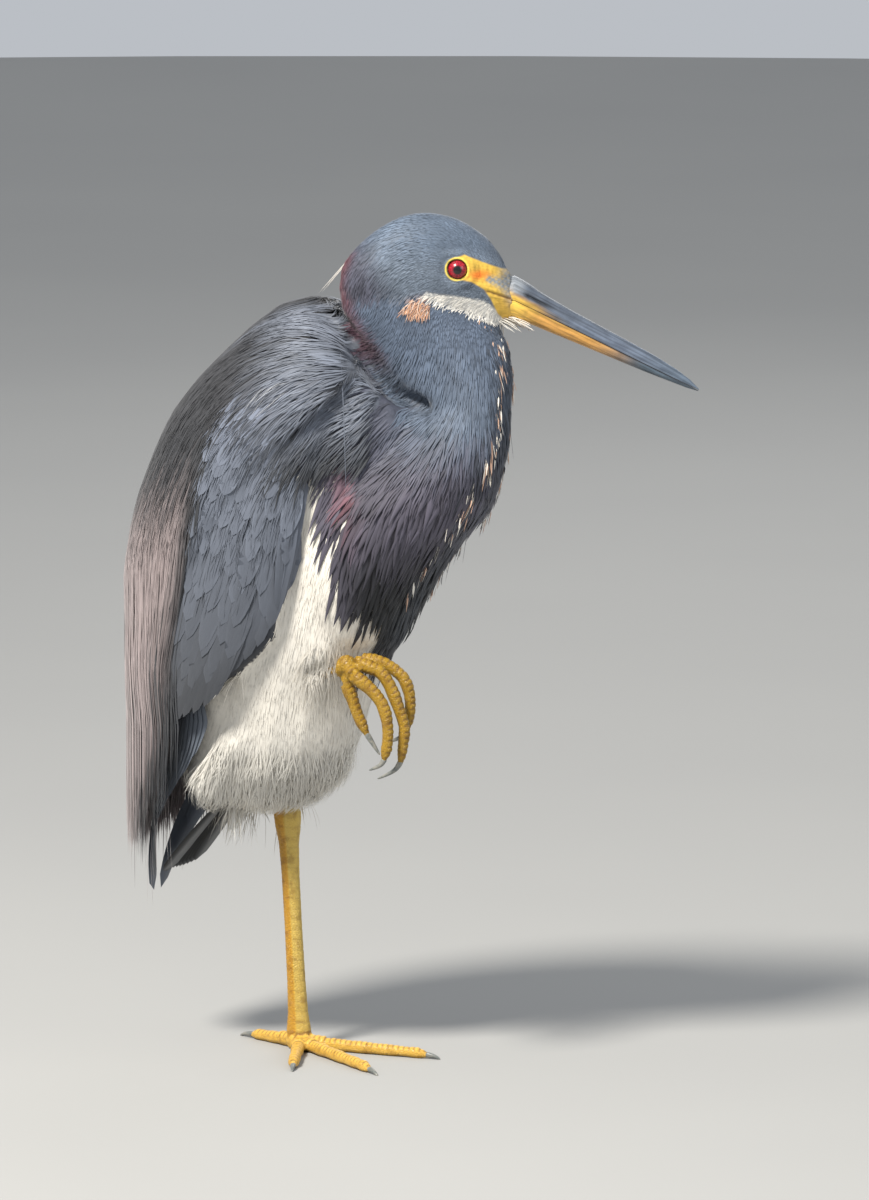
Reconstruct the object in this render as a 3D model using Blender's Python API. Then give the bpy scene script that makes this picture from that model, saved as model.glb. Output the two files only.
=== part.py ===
"""A tricolored heron at life size, standing at rest on its left foot with the right foot tucked up.

Metres, +Z up. The origin is on the floor, under the sole of the standing foot. The trunk faces +X and the
bird's right side is towards -Y. Sizes below are in millimetres, in the body's own frame, whose XZ plane is
the trunk's plane of symmetry.
"""

import math

import bmesh
import bpy
from mathutils import Matrix, Vector

MM = 0.001
GAP = 0.35  # clearance between pieces that meet
TRUNK_GAP = 0.5  # clearance of the openings in the trunk, whose facets are larger

# Where the body's frame stands over the sole, so that the weight is over the toes.
BODY_PLACE = (7.4, -14.0, 0.0)

# The trunk under its feathers: height, back, widest place, front, half-width.
TRUNK = (
    (109.5, -34, -24, -14, 6),
    (113, -44, -23, 2, 16),
    (121, -54, -20, 17, 25),
    (138, -60, -15, 29, 30),
    (157, -65, -11, 34, 33.5),
    (175, -71, -6, 42, 37.2),
    (193, -70, -3, 49, 38.7),
    (211, -68, -1, 55, 39.2),
    (229, -64, 2, 58.5, 39.2),
    (247, -59, 5, 60, 38.2),
    (264, -52, 8, 64, 36.2),
    (282, -43, 11, 66, 33.2),
    (300, -28.5, 13, 58, 28.6),
    (316, -17, 12, 42, 24.3),
    (325, -6.5, 11, 30, 16),
    (329, 1.5, 11, 19, 8),
)

# The outline of the folded wings round the back: height, back, centre, half-width.
CLOAK = (
    (66, -73.5, -36, 10),
    (72, -74.5, -34, 14),
    (85, -75.5, -30, 20),
    (100, -76.5, -26, 27),
    (120, -77.5, -20, 33),
    (140, -78, -14, 38),
    (157, -78.5, -10, 42),
    (175, -78.5, -6, 45),
    (193, -77.5, -3, 46.5),
    (211, -75.5, -1, 47),
    (229, -71.5, 2, 47),
    (247, -66.5, 5, 46),
    (264, -59.5, 7, 44),
    (282, -50.5, 9, 41),
    (300, -35.5, 10, 35),
    (316, -19, 11, 26),
    (325, -8, 11, 17.5),
    (329.5, 1, 11, 8),
    (331, 9, 11, 1),
)

CROWN_FROM = 308.0
CROWN_TO = 331.0

WING_THICKNESS = 5.7
WING_EDGE = 1.4
WING_HEM_THICKNESS = 2.0
WING_THINS_FROM = 0.7  # share of the way down from the shoulder
WING_FRONT_ROUND = 0.14  # share of the width over which the front edge rounds in
WING_TOP_ROUND = 0.10
WING_TOP = 303.0
WING_TOP_FALL = 14.0  # how far the top's front corner is under its rear one
WING_REAR = 2.5  # the rear edges' angle round the cloak from the back
# The wing's front edge as an angle round the cloak from the back, by height.
WING_FRONT = ((120, 66), (150, 84), (170, 94), (190, 101), (230, 103), (264, 106), (290, 112), (303, 112))
# The hem of the folded wing, by the share of the way from back to front.
WING_HEM = ((0, 124), (0.35, 128), (0.58, 137), (0.73, 147), (0.86, 158), (0.95, 176), (1, 191))

# The quills below the hem: height, rear angle, front angle round the cloak.
QUILLS = (
    (67, 15, 18), (76, 19, 30), (90, 27, 43), (104, 38, 53), (118, 46, 63), (131, 52, 71), (152, 60, 83),
)
QUILL_THICKNESS = 2.4
QUILL_TIP_THICKNESS = 0.96
QUILL_RISE = 5.6  # how far the quills come out to the cloak once they are clear of the wing
QUILL_TOP = 152.0
QUILL_TIP = 67.0

MANTLE_THICKNESS = 3.7
MANTLE_EDGE = 1.0
MANTLE_CLEARANCE = 2.1
MANTLE_TOP = 331.0
# Half the angle that the long back plumes cover, by height.
MANTLE_SPAN = (
    (90, 20), (104, 30), (120, 41), (140, 50), (157, 54), (193, 59), (229, 67), (247, 74), (264, 83),
    (282, 100), (300, 125), (318, 150), (331, 170),
)
MANTLE_HEM = ((0, 92), (0.5, 95), (0.8, 99), (1, 112))
MANTLE_LOCKS = 7
MANTLE_LOCK_DEPTH = 9.0

# The lower neck and the plumes that hang from it: height, back, widest place, front, half-width.
BREAST = (
    (181, 28, 34, 44, 14),
    (187, 24, 33, 50, 25),
    (196, 20, 32, 54, 31.5),
    (208, 18, 32, 60.7, 35.5),
    (222, 16, 36, 70, 37.5),
    (235, 15, 42, 81, 37),
    (247, 16, 50, 93, 34.5),
    (260, 24, 65, 100.5, 29.5),
    (274, 40, 75, 103, 23),
)

# The neck stands on a hinge line, about which its plane turns towards the left.
NECK_HINGE = (62.0, 4.0)
# Rings of the neck: angle to the left, then forward reach and height of the hind edge and of the front
# edge, and the half-width.
NECK = (
    (4, -4.1, 291.4, 40.2, 296.5, 18),
    (10, -14.2, 299.9, 38.1, 308.2, 18),
    (16, -24.1, 309.6, 35.6, 318.6, 17.5),
    (21, -32.6, 320.4, 32.2, 325.4, 17),
    (25, -38.6, 332.2, 29.0, 330.2, 16),
    (28, -40.3, 344.0, 22.0, 336.5, 14.5),
    (28, -35.5, 355.0, 14.0, 345.0, 11),
)
NECK_PARTING = 2.0

# The head points away from the hinge line. Rings: forward reach, top, bottom, half-width.
HEAD_TURN = 28.0
HEAD = (
    (-38.5, 351.5, 339.5, 4.5),
    (-35.5, 356.5, 336.0, 8.5),
    (-30, 362.5, 333.0, 11.5),
    (-22, 369.2, 330.0, 14),
    (-10, 375.2, 328.0, 15.5),
    (1, 376.3, 327.0, 15.8),
    (12, 374.0, 326.3, 14.6),
    (21, 369.0, 326.0, 12.6),
    (28, 363.4, 325.6, 10.8),
    (33, 357.2, 325.8, 9.4),
    (36.6, 349.5, 326.4, 8.0),
)
HEAD_WIDEST = 0.47  # the height of the widest place in each ring, as a share of the ring's
EYE_PLACE = (12.5, 10.1, 352.2)  # forward reach, half the spacing, height
EYE_RADIUS = 5.0
SOCKET_GAP = 0.9

# The bill along its own axis, which drops from the face.
BILL_ROOT = (36.9, 338.0)
BILL_DROP = 26.6
BILL_LENGTH = 89.0
# Share of the length, culmen above the axis, keel below it, half-width.
BILL = (
    (0.0, 8.9, 7.9, 6.6),
    (0.10, 7.5, 6.9, 5.6),
    (0.25, 6.5, 6.0, 4.8),
    (0.42, 5.9, 4.9, 4.1),
    (0.58, 5.5, 4.0, 3.5),
    (0.74, 4.8, 3.0, 2.8),
    (0.86, 3.7, 2.0, 2.1),
    (0.94, 2.3, 1.3, 1.4),
    (1.0, 0.5, 0.5, 0.5),
)

# The tail: distance along it, half-width, half-thickness, from its root to its tip.
TAIL_ROOT = (-27.0, 0.0, 115.0)
TAIL_DROP = 50.5
TAIL = ((0, 11, 2.6), (12, 14.5, 2.4), (28, 18, 1.8), (40, 20.5, 1.4), (46, 20.5, 1.0))

# Feathered thighs: hip, knee end and their radii.
THIGHS = {
    "left": ((-6, 17, 152), (-12.2, 11.6, 111.6), 17.5, 7.4),
    "right": ((0, -17, 164), (-37, -17, 119), 17.5, 12.5),
}

# The standing shank from the sole's joint to the heel, and its radius on the way up.
HEEL_SHIFT = (-5.0, -2.7)
HEEL_HEIGHT = 110.6
SHANK = (
    (7.5, 5.4), (11, 4.9), (16, 4.3), (30, 3.9), (55, 3.7), (78, 3.8), (92, 4.3), (99, 5.4), (105, 5.9),
    (HEEL_HEIGHT, 4.9),
)

TOE_RADIUS = 3.25
TOE_TAPER = 0.27  # the share of its radius that a toe loses from its root to its tip
TOE_FLAT = 0.82  # how far under its middle a standing toe is cut flat, by its radius
TOE_STEM = 12.0  # the toes part from the foot's own piece this far out
STEM_FLAT = 0.86  # how far under its middle a stem is cut flat, by its radius
STEM_LIFT = 0.1  # the stems are clear of the floor, so that the pad and the toes' joints bear
# Toes of the standing foot: turn about the sole, reach of each joint and of the tip, claw length.
STANDING_TOES = {
    2: (-65, (19, 34), 46, 8.5),
    3: (-33, (20, 36, 50), 63, 9.0),
    4: (5, (18, 30, 42), 60, 8.0),
    1: (161, (17,), 30, 10.5),
}
# The raised foot hangs before the belly. Toes: sideways offsets at the stem and the tip, then forward
# reach and height of each point along the curl, the claw's bend and its tip.
FOOT_PLACE = (35.0, -27.5, 181.5)
FOOT_TURN = 12.0
RAISED_TOES = {
    3: ((0, 0.5), ((9, -0.6), (18, -3.4), (22.8, -9.5), (26.6, -18.5), (29.4, -27), (29, -34), (28, -41.5)),
        ((25.2, -46.5), (17.5, -50.5))),
    4: ((5.5, 7.5), ((8.2, -5), (15.5, -10.2), (21, -16.4), (23.6, -24.6), (23.8, -33), (22.6, -39.8)),
        ((20.8, -43.3), (15.8, -45.6))),
    2: ((-6.4, -8.2), ((8.8, 0.4), (18, -1), (26.4, -6.5), (29.4, -14), (29.6, -22), (27.6, -29.5)),
        ((25.0, -33.6), (20, -35.5))),
    1: ((0.6, 1.5), ((3.6, -9.5), (6.2, -16), (8.8, -23), (12.4, -30)),
        ((15.6, -35), (18.6, -39.6))),
}

SLATE = (0.075, 0.095, 0.125)
PLUM = (0.085, 0.065, 0.085)
TAUPE = (0.155, 0.115, 0.105)
WHITE = (0.75, 0.70, 0.58)
DARK_SLATE = (0.035, 0.045, 0.065)
HORN_GREY = (0.22, 0.27, 0.32)
BILL_ORANGE = (0.70, 0.38, 0.07)
LEG_ORANGE = (0.72, 0.36, 0.03)
CLAW_GREY = (0.06, 0.055, 0.05)
IRIS_RED = (0.45, 0.01, 0.03)


# Points round a ring, by piece.
TRUNK_SIDES = 18
NECK_SIDES = 20
HEAD_SIDES = 18


# ---------------------------------------------------------------- scene and materials


def clear_scene():
    for old in list(bpy.data.objects):
        bpy.data.objects.remove(old, do_unlink=True)


def new_collection(name, shown=True):
    collection = bpy.data.collections.new(name)
    collection.hide_render = not shown
    bpy.context.scene.collection.children.link(collection)
    return collection


def finish(name, colour, roughness):
    material = bpy.data.materials.new(name)
    material.use_nodes = True
    shader = material.node_tree.nodes["Principled BSDF"]
    shader.inputs["Base Color"].default_value = (*colour, 1.0)
    shader.inputs["Roughness"].default_value = roughness
    shader.inputs["Metallic"].default_value = 0.0
    material.diffuse_color = (*colour, 1.0)
    return material


# ---------------------------------------------------------------- curves through stations


def smoothstep(value):
    value = min(1.0, max(0.0, value))
    return value * value * (3 - 2 * value)


def read(table, place, column=1):
    """The smooth curve through a table's column at a place, level beyond the table's ends."""
    places = [row[0] for row in table]
    values = [row[column] for row in table]
    if place <= places[0]:
        return values[0]
    if place >= places[-1]:
        return values[-1]
    k = max(i for i in range(len(places) - 1) if places[i] <= place)

    def slope(i):
        low, high = max(i - 1, 0), min(i + 1, len(places) - 1)
        return (values[high] - values[low]) / (places[high] - places[low])

    span = places[k + 1] - places[k]
    t = (place - places[k]) / span
    return (
        (2 * t**3 - 3 * t**2 + 1) * values[k]
        + (t**3 - 2 * t**2 + t) * span * slope(k)
        + (3 * t**2 - 2 * t**3) * values[k + 1]
        + (t**3 - t**2) * span * slope(k + 1)
    )


def indexed(rows):
    return tuple((i, *row) for i, row in enumerate(rows))


def spread(low, high, count):
    return [low + (high - low) * i / (count - 1) for i in range(count)]


def path_through(points, count):
    """Points evenly placed by number on a smooth curve through the given ones."""
    tables = [tuple((i, p[axis]) for i, p in enumerate(points)) for axis in range(3)]
    return [Vector([read(t, s) for t in tables]) for s in spread(0, len(points) - 1, count)]


# ---------------------------------------------------------------- solids from rings


def rounded(angle, power):
    """A point of a round outline whose sides grow fuller as the power passes 2."""
    c, s = math.cos(angle), math.sin(angle)
    return math.copysign(abs(c) ** (2 / power), c), math.copysign(abs(s) ** (2 / power), s)


def ring(centre, front, back, side, count, back_power=2.0):
    """A closed ring: `front` and `back` are the reaches either way from the centre, `side` the half-width."""
    points = []
    for i in range(count):
        angle = 2 * math.pi * (i + 0.5) / count
        along, across = rounded(angle, 2.0 if math.cos(angle) > 0 else back_power)
        points.append(centre + (front if along > 0 else back) * abs(along) + side * across)
    return points


def close_end(bm, row, as_strip):
    """Closes an end ring: whole, or as a strip between its first half and its second."""
    if not as_strip:
        bm.faces.new(row)
        return
    last = len(row) - 1
    for i in range(len(row) // 2 - 1):
        bm.faces.new((row[i], row[i + 1], row[last - i - 1], row[last - i]))


def solid(name, rings, material, collection, strip_ends=False):
    """A closed solid skinned over rings of equal count."""
    mesh = bpy.data.meshes.new(name)
    bm = bmesh.new()
    rows = [[bm.verts.new(point * MM) for point in points] for points in rings]
    for low, high in zip(rows, rows[1:]):
        for i in range(len(low)):
            j = (i + 1) % len(low)
            bm.faces.new((low[i], low[j], high[j], high[i]))
    close_end(bm, rows[0], strip_ends)
    close_end(bm, rows[-1], strip_ends)
    bmesh.ops.recalc_face_normals(bm, faces=bm.faces)
    bmesh.ops.triangulate(bm, faces=[f for f in bm.faces if len(f.verts) > 4])
    bm.to_mesh(mesh)
    bm.free()
    mesh.shade_smooth()
    mesh.set_sharp_from_angle(angle=math.radians(50))
    mesh.materials.append(material)
    piece = bpy.data.objects.new(name, mesh)
    collection.objects.link(piece)
    return piece


def tube_rings(path, radii, count, flat=1.0):
    """Rings square to a path. `flat` under 1 cuts the round off below."""
    rings = []
    side = None
    for i, point in enumerate(path):
        along = (path[min(i + 1, len(path) - 1)] - path[max(i - 1, 0)]).normalized()
        across = along.cross(Vector((0, 0, 1)))
        if across.length < 0.3 or (side and across.dot(side) < 0):
            across = side if side else Vector((0, 1, 0))
        side = (across - along * across.dot(along)).normalized()
        up = side.cross(along)
        points = []
        for k in range(count):
            angle = 2 * math.pi * (k + 0.5) / count
            rise = max(math.sin(angle), -flat)
            points.append(point + (side * math.cos(angle) + up * rise) * radii[i])
        rings.append(points)
    return rings


def cut(piece, cutter_pieces, clearance, helpers):
    """Takes neighbours, swollen by the clearance, out of a piece."""
    for other in cutter_pieces:
        tool = other.copy()
        tool.data = other.data.copy()
        tool.name = f"cutter_{piece.name}_{other.name}"
        tool.parent = None
        tool.matrix_world = other.matrix_world
        helpers.objects.link(tool)
        tool.hide_render = True
        tool.display_type = "WIRE"
        swell = tool.modifiers.new("swell", "DISPLACE")
        swell.strength = clearance * MM
        swell.mid_level = 0.0
        opening = piece.modifiers.new(f"clear_{other.name}", "BOOLEAN")
        opening.operation = "DIFFERENCE"
        opening.object = tool


# ---------------------------------------------------------------- trunk, breast, neck and head


def level_ring(table, height, count, back_power=2.0):
    back, middle, front, half = (read(table, height, column) for column in (1, 2, 3, 4))
    return ring(
        Vector((middle, 0, height)), Vector((front - middle, 0, 0)), Vector((back - middle, 0, 0)),
        Vector((0, half, 0)), count, back_power,
    )


def make_trunk(material, collection):
    heights = [109.5, 111.5, 116] + spread(127, 316, 12) + [323, 329]
    return solid("trunk", [level_ring(TRUNK, z, TRUNK_SIDES) for z in heights], material, collection)


def breast_back(height):
    """The power of the breast's hind outline, which grows squarer where it lies on the trunk."""
    return 2 + 3 * smoothstep((272 - height) / 26)


def make_breast(material, collection):
    heights = [181, 184] + spread(190, 274, 9)
    rings = [level_ring(BREAST, z, NECK_SIDES, breast_back(z)) for z in heights]
    rings.append(neck_ring(0, NECK_SIDES, -GAP))
    return solid("neck_lower", rings, material, collection)


def neck_plane(turn):
    """Where the neck's plane stands at a turn to the left: its hinge, forward direction and side."""
    angle = math.radians(turn)
    forward = Vector((math.cos(angle), math.sin(angle), 0))
    return Vector((*NECK_HINGE, 0)), forward, Vector((-forward.y, forward.x, 0))


def neck_ring(place, count, shift=0.0):
    table = indexed(NECK)
    turn, hind_reach, hind_height, front_reach, front_height, half = (
        read(table, place, column) for column in range(1, 7)
    )
    hinge, forward, side = neck_plane(turn)
    hind = hinge + forward * hind_reach + Vector((0, 0, hind_height))
    front = hinge + forward * front_reach + Vector((0, 0, front_height))
    centre = (hind + front) / 2
    normal = (front - centre).cross(side).normalized()
    if normal.z < 0:
        normal.negate()
    return ring(centre + normal * shift, front - centre, hind - centre, side * half, count)


def make_neck(name, low, high, material, collection, closed_top=False):
    rings = [neck_ring(place, NECK_SIDES) for place in spread(low, high, 5)]
    if not closed_top:
        rings[-1] = neck_ring(high, NECK_SIDES, -GAP)
    return solid(name, rings, material, collection)


def head_ring(forward_reach, count):
    top, bottom, half = (read(HEAD, forward_reach, column) for column in (1, 2, 3))
    hinge, forward, side = neck_plane(HEAD_TURN)
    widest = bottom + (top - bottom) * HEAD_WIDEST
    centre = hinge + forward * forward_reach + Vector((0, 0, widest))
    return ring(centre, Vector((0, 0, top - widest)), Vector((0, 0, bottom - widest)), side * half, count)


def make_head(material, collection):
    reaches = [-38.5, -36.8] + spread(-33, 32, 11) + [36.6]
    return solid("head", [head_ring(f, HEAD_SIDES) for f in reaches], material, collection)


def make_eyes(material, collection):
    hinge, forward, side = neck_plane(HEAD_TURN)
    reach, half_spacing, height = EYE_PLACE
    eyes = []
    for name, hand in (("eye_right", -1), ("eye_left", 1)):
        centre = hinge + forward * reach + side * half_spacing * hand + Vector((0, 0, height))
        mesh = bpy.data.meshes.new(name)
        bm = bmesh.new()
        bmesh.ops.create_uvsphere(bm, u_segments=12, v_segments=6, radius=EYE_RADIUS * MM)
        bm.to_mesh(mesh)
        bm.free()
        mesh.shade_smooth()
        mesh.materials.append(material)
        eye = bpy.data.objects.new(name, mesh)
        eye.location = centre * MM
        collection.objects.link(eye)
        eyes.append(eye)
    return eyes


def bill_rings(upper, count=8):
    """Half-round rings down the bill: the flat side lies along the line where the two halves meet."""
    hinge, forward, side = neck_plane(HEAD_TURN)
    drop = math.radians(BILL_DROP)
    along = forward * math.cos(drop) - Vector((0, 0, math.sin(drop)))
    up = side.cross(along)
    up = up if up.z > 0 else -up
    root = hinge + forward * BILL_ROOT[0] + Vector((0, 0, BILL_ROOT[1])) + along * GAP
    hand = 1 if upper else -1
    rings = []
    for share in (0, 0.06, 0.14, 0.25, 0.38, 0.52, 0.66, 0.78, 0.88, 0.95, 1.0):
        depth = read(BILL, share, 2 if not upper else 1)
        half = read(BILL, share, 3)
        centre = root + along * BILL_LENGTH * share + up * hand * GAP / 2
        points = []
        for i in range(count):
            angle = math.pi * i / (count - 1)
            points.append(centre + side * half * math.cos(angle) + up * hand * depth * math.sin(angle))
        rings.append(points)
    # The root stands upright against the face.
    lean = [forward.dot(point - rings[0][0]) for point in rings[0]]
    rings[0] = [point - along * reach / along.dot(forward) for point, reach in zip(rings[0], lean)]
    return rings


def make_bill(upper_material, lower_material, collection):
    upper = solid("bill_upper", bill_rings(True), upper_material, collection)
    lower = solid("bill_lower", bill_rings(False), lower_material, collection)
    return upper, lower


# ---------------------------------------------------------------- wings, quills and back plumes


def cloak_point(height, angle, inset, hand):
    """A point of the cloak's outline, `angle` degrees round from the back, `inset` under its surface.

    Over the shoulders what lies on the cloak is stacked upwards and no longer outwards.
    """
    back, centre, half = (read(CLOAK, height, column) for column in (1, 2, 3))
    turn = math.radians(angle)
    upwards = max(-inset, 0.0) * smoothstep((height - CROWN_FROM) / (CROWN_TO - CROWN_FROM))
    length = max(centre - back - inset - upwards, 0.8)
    width = max(half - inset - upwards, 0.6)
    return Vector((centre - length * math.cos(turn), hand * width * math.sin(turn), height + upwards))


def shell(name, rows, columns, place, outer, inner, material, collection, hand=-1):
    """A curved sheet of given thickness over the cloak. `place` gives height and angle for two shares."""
    rings = []
    for k in range(rows):
        down = k / (rows - 1)
        shares = [j / (columns - 1) for j in range(columns)]
        spots = [(*place(down, share), share) for share in shares]
        over = [cloak_point(z, angle, outer(down, share), hand) for z, angle, share in spots]
        under = [cloak_point(z, angle, inner(down, share), hand) for z, angle, share in spots]
        rings.append(over + under[::-1])
    return solid(name, rings, material, collection, strip_ends=True)


def wing_place(down, share):
    top = WING_TOP - WING_TOP_FALL * share**3
    height = top + (read(WING_HEM, share) - top) * down
    return height, WING_REAR + (read(WING_FRONT, height) - WING_REAR) * share


def wing_outer(down, share):
    """The wing's face, which rounds in to the body at the shoulder and at the front edge."""
    edge = min(1.0, (1 - share) / WING_FRONT_ROUND, down / WING_TOP_ROUND + 0.05)
    return (WING_THICKNESS - WING_EDGE) * (1 - math.sqrt(1 - (1 - edge) ** 2))


def wing_inner(down, share):
    """The wing's back, which thins towards the feather tips of the hem."""
    thinned = WING_THICKNESS - WING_HEM_THICKNESS
    inset = WING_THICKNESS - thinned * smoothstep((down - WING_THINS_FROM) / (1 - WING_THINS_FROM))
    return max(inset, wing_outer(down, share) + WING_EDGE)


def quill_place(down, share):
    height = QUILL_TOP + (QUILL_TIP - QUILL_TOP) * down
    rear, front = read(QUILLS, height, 1), read(QUILLS, height, 2)
    return height, rear + (front - rear) * share


def quill_depth(down):
    under_wing = WING_THICKNESS + GAP + 0.2
    return under_wing - QUILL_RISE * smoothstep((down - 0.2) / 0.45)


def mantle_place(down, share):
    across = abs(2 * share - 1)
    lock = abs(math.sin(math.pi * MANTLE_LOCKS * share))
    hem = read(MANTLE_HEM, across) + MANTLE_LOCK_DEPTH * (1 - lock)
    height = MANTLE_TOP + (hem - MANTLE_TOP) * down**1.5
    return height, (2 * share - 1) * read(MANTLE_SPAN, height)


def mantle_outer(down, share):
    across = abs(2 * share - 1)
    crown = math.sqrt(max(0.0, 1 - across**4)) * smoothstep((1.02 - down) / 0.5)
    return -(MANTLE_CLEARANCE + MANTLE_EDGE + (MANTLE_THICKNESS - MANTLE_EDGE) * crown)


def make_wings(feather, quill, collection):
    wings = []
    for side, hand in (("right", -1), ("left", 1)):
        wings.append(
            shell(f"wing_{side}", 12, 9, wing_place, wing_outer, wing_inner, feather, collection, hand)
        )
        wings.append(
            shell(
                f"primaries_{side}", 9, 4, quill_place,
                lambda down, share: quill_depth(down),
                lambda down, share: quill_depth(down)
                + QUILL_THICKNESS + (QUILL_TIP_THICKNESS - QUILL_THICKNESS) * down,
                quill, collection, hand,
            )
        )
    return wings


def make_mantle(material, collection):
    return shell(
        "mantle", 15, 15, mantle_place, mantle_outer,
        lambda down, share: -MANTLE_CLEARANCE, material, collection,
    )


def make_tail(material, collection):
    drop = math.radians(TAIL_DROP)
    along = Vector((-math.cos(drop), 0, -math.sin(drop)))
    up = Vector((-math.sin(drop), 0, math.cos(drop)))
    root = Vector(TAIL_ROOT)
    rings = []
    for reach in (0, 8, 16, 24, 32, 40, 45, 46):
        half, thick = read(TAIL, reach, 1), read(TAIL, reach, 2)
        centre = root + along * reach
        rings.append(ring(centre, up * thick, -up * thick, Vector((0, half, 0)), 12))
    return solid("tail", rings, material, collection)


# ---------------------------------------------------------------- legs and feet


def make_thighs(material, collection):
    thighs = []
    for side, (hip, knee, wide, narrow) in THIGHS.items():
        hip, knee = Vector(hip), Vector(knee)
        path, radii = [], []
        for share in (0, 0.06, 0.18, 0.34, 0.5, 0.66, 0.82, 1.0):
            path.append(hip.lerp(knee, share))
            swell = math.sin(math.pi * min(1.0, share / 0.55 + 0.12) * 0.5) if share < 0.5 else 1.0
            radii.append((wide + (narrow - wide) * smoothstep((share - 0.25) / 0.75)) * max(0.2, swell))
        if side == "right":
            path.append(knee + (knee - hip).normalized() * 4)
            radii.append(narrow * 0.55)
        thighs.append(solid(f"thigh_{side}", tube_rings(path, radii, 14), material, collection))
    return thighs


def level_shank_rings(count):
    heel = Vector((*HEEL_SHIFT, HEEL_HEIGHT))
    rings = []
    for height, radius in SHANK:
        centre = heel * (height / HEEL_HEIGHT)
        centre.z = height
        rings.append(
            ring(centre, Vector((radius * 1.08, 0, 0)), Vector((-radius * 1.08, 0, 0)),
                 Vector((0, radius * 0.95, 0)), count)
        )
    return rings


def make_shank(material, collection):
    return solid("shank_left", level_shank_rings(12), material, collection)


def toe_spots(turn, joints, tip):
    """The standing toe's centre line and radii, thick at each joint and flat to the floor there."""
    angle = math.radians(turn)
    forward = Vector((math.cos(angle), math.sin(angle), 0))
    path, radii = [], []
    count = 3 * (len(joints) + 1) + 1
    for reach in spread(TOE_STEM + GAP, tip, count):
        taper = 1 - TOE_TAPER * reach / tip
        knuckle = sum(math.exp(-(((reach - joint) / 2.6) ** 2)) for joint in (*joints, tip - 4))
        radius = TOE_RADIUS * taper * (0.92 + 0.16 * knuckle)
        if reach > tip - 0.5:
            radius *= 0.72
        clear = 0.35 * (1 - min(1.0, knuckle))
        path.append(forward * reach + Vector((0, 0, radius * TOE_FLAT + clear)))
        radii.append(radius)
    return forward, path, radii


def claw_rings(root, forward, down, length, radius, count=6):
    """A claw that starts along `forward` and bends to `down`."""
    path, radii = [], []
    for share in spread(0, 1, 5):
        bend = share**1.6
        path.append(root + forward * length * share * (1 - 0.18 * bend) + down * length * 0.30 * bend)
        radii.append(radius * (1 - 0.88 * share))
    return tube_rings(path, radii, count)


def rest_on_floor(rings):
    """A claw's rings, raised more and more towards its tip, so that the tip rests on the floor."""
    under = -min(0.0, min(point.z for point in rings[-1]))
    last = len(rings) - 1
    return [[point + Vector((0, 0, under * i / last)) for point in points] for i, points in enumerate(rings)]


def make_standing_foot(skin, horn, collection):
    stems, pieces = [], []
    for number, (turn, joints, tip, claw) in STANDING_TOES.items():
        forward, path, radii = toe_spots(turn, joints, tip)
        pieces.append(solid(f"toe_left_{number}", tube_rings(path, radii, 8, TOE_FLAT), skin, collection))
        root = path[-1] + forward * GAP + Vector((0, 0, 0.1))
        rings = claw_rings(root, forward, Vector((0, 0, -1)), claw, radii[-1] * 0.8)
        pieces.append(solid(f"claw_left_{number}", rest_on_floor(rings), horn, collection))
        stem_radii = [TOE_RADIUS * factor for factor in (0.75, 1.02, 1.05, 1.0)]
        height = max(stem_radii) * STEM_FLAT + STEM_LIFT
        stem_path = [forward * reach + Vector((0, 0, height)) for reach in (0, 4, 8, TOE_STEM)]
        stems.append(tube_rings(stem_path, stem_radii, 8, STEM_FLAT))
    return stems, pieces


def join_solids(name, ring_sets, material, collection, helpers):
    """One solid from several that overlap."""
    first = solid(name, ring_sets[0], material, collection)
    for i, rings in enumerate(ring_sets[1:]):
        other = solid(f"{name}_part_{i}", rings, material, helpers)
        other.parent = first
        other.hide_render = True
        other.display_type = "WIRE"
        merge = first.modifiers.new(f"join_{i}", "BOOLEAN")
        merge.operation = "UNION"
        merge.object = other
    return first


def make_sole(stems, material, collection, helpers):
    """The foot's own piece: a round pad with a stem for each toe, flat below."""
    heights = ((0.0, 4.6), (0.9, 5.6), (3.2, 6.3), (5.2, 5.9), (7.5 - GAP, 5.2))
    pad = [
        ring(Vector((-z * 0.05, 0, z)), Vector((r, 0, 0)), Vector((-r, 0, 0)), Vector((0, r * 0.93, 0)), 12)
        for z, r in heights
    ]
    return join_solids("foot_left", [pad, *stems], material, collection, helpers)


def raised_frame():
    angle = math.radians(FOOT_TURN)
    forward = Vector((math.cos(angle), math.sin(angle), 0))
    outward = Vector((math.sin(angle), -math.cos(angle), 0))
    return Vector(FOOT_PLACE), forward, outward


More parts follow.
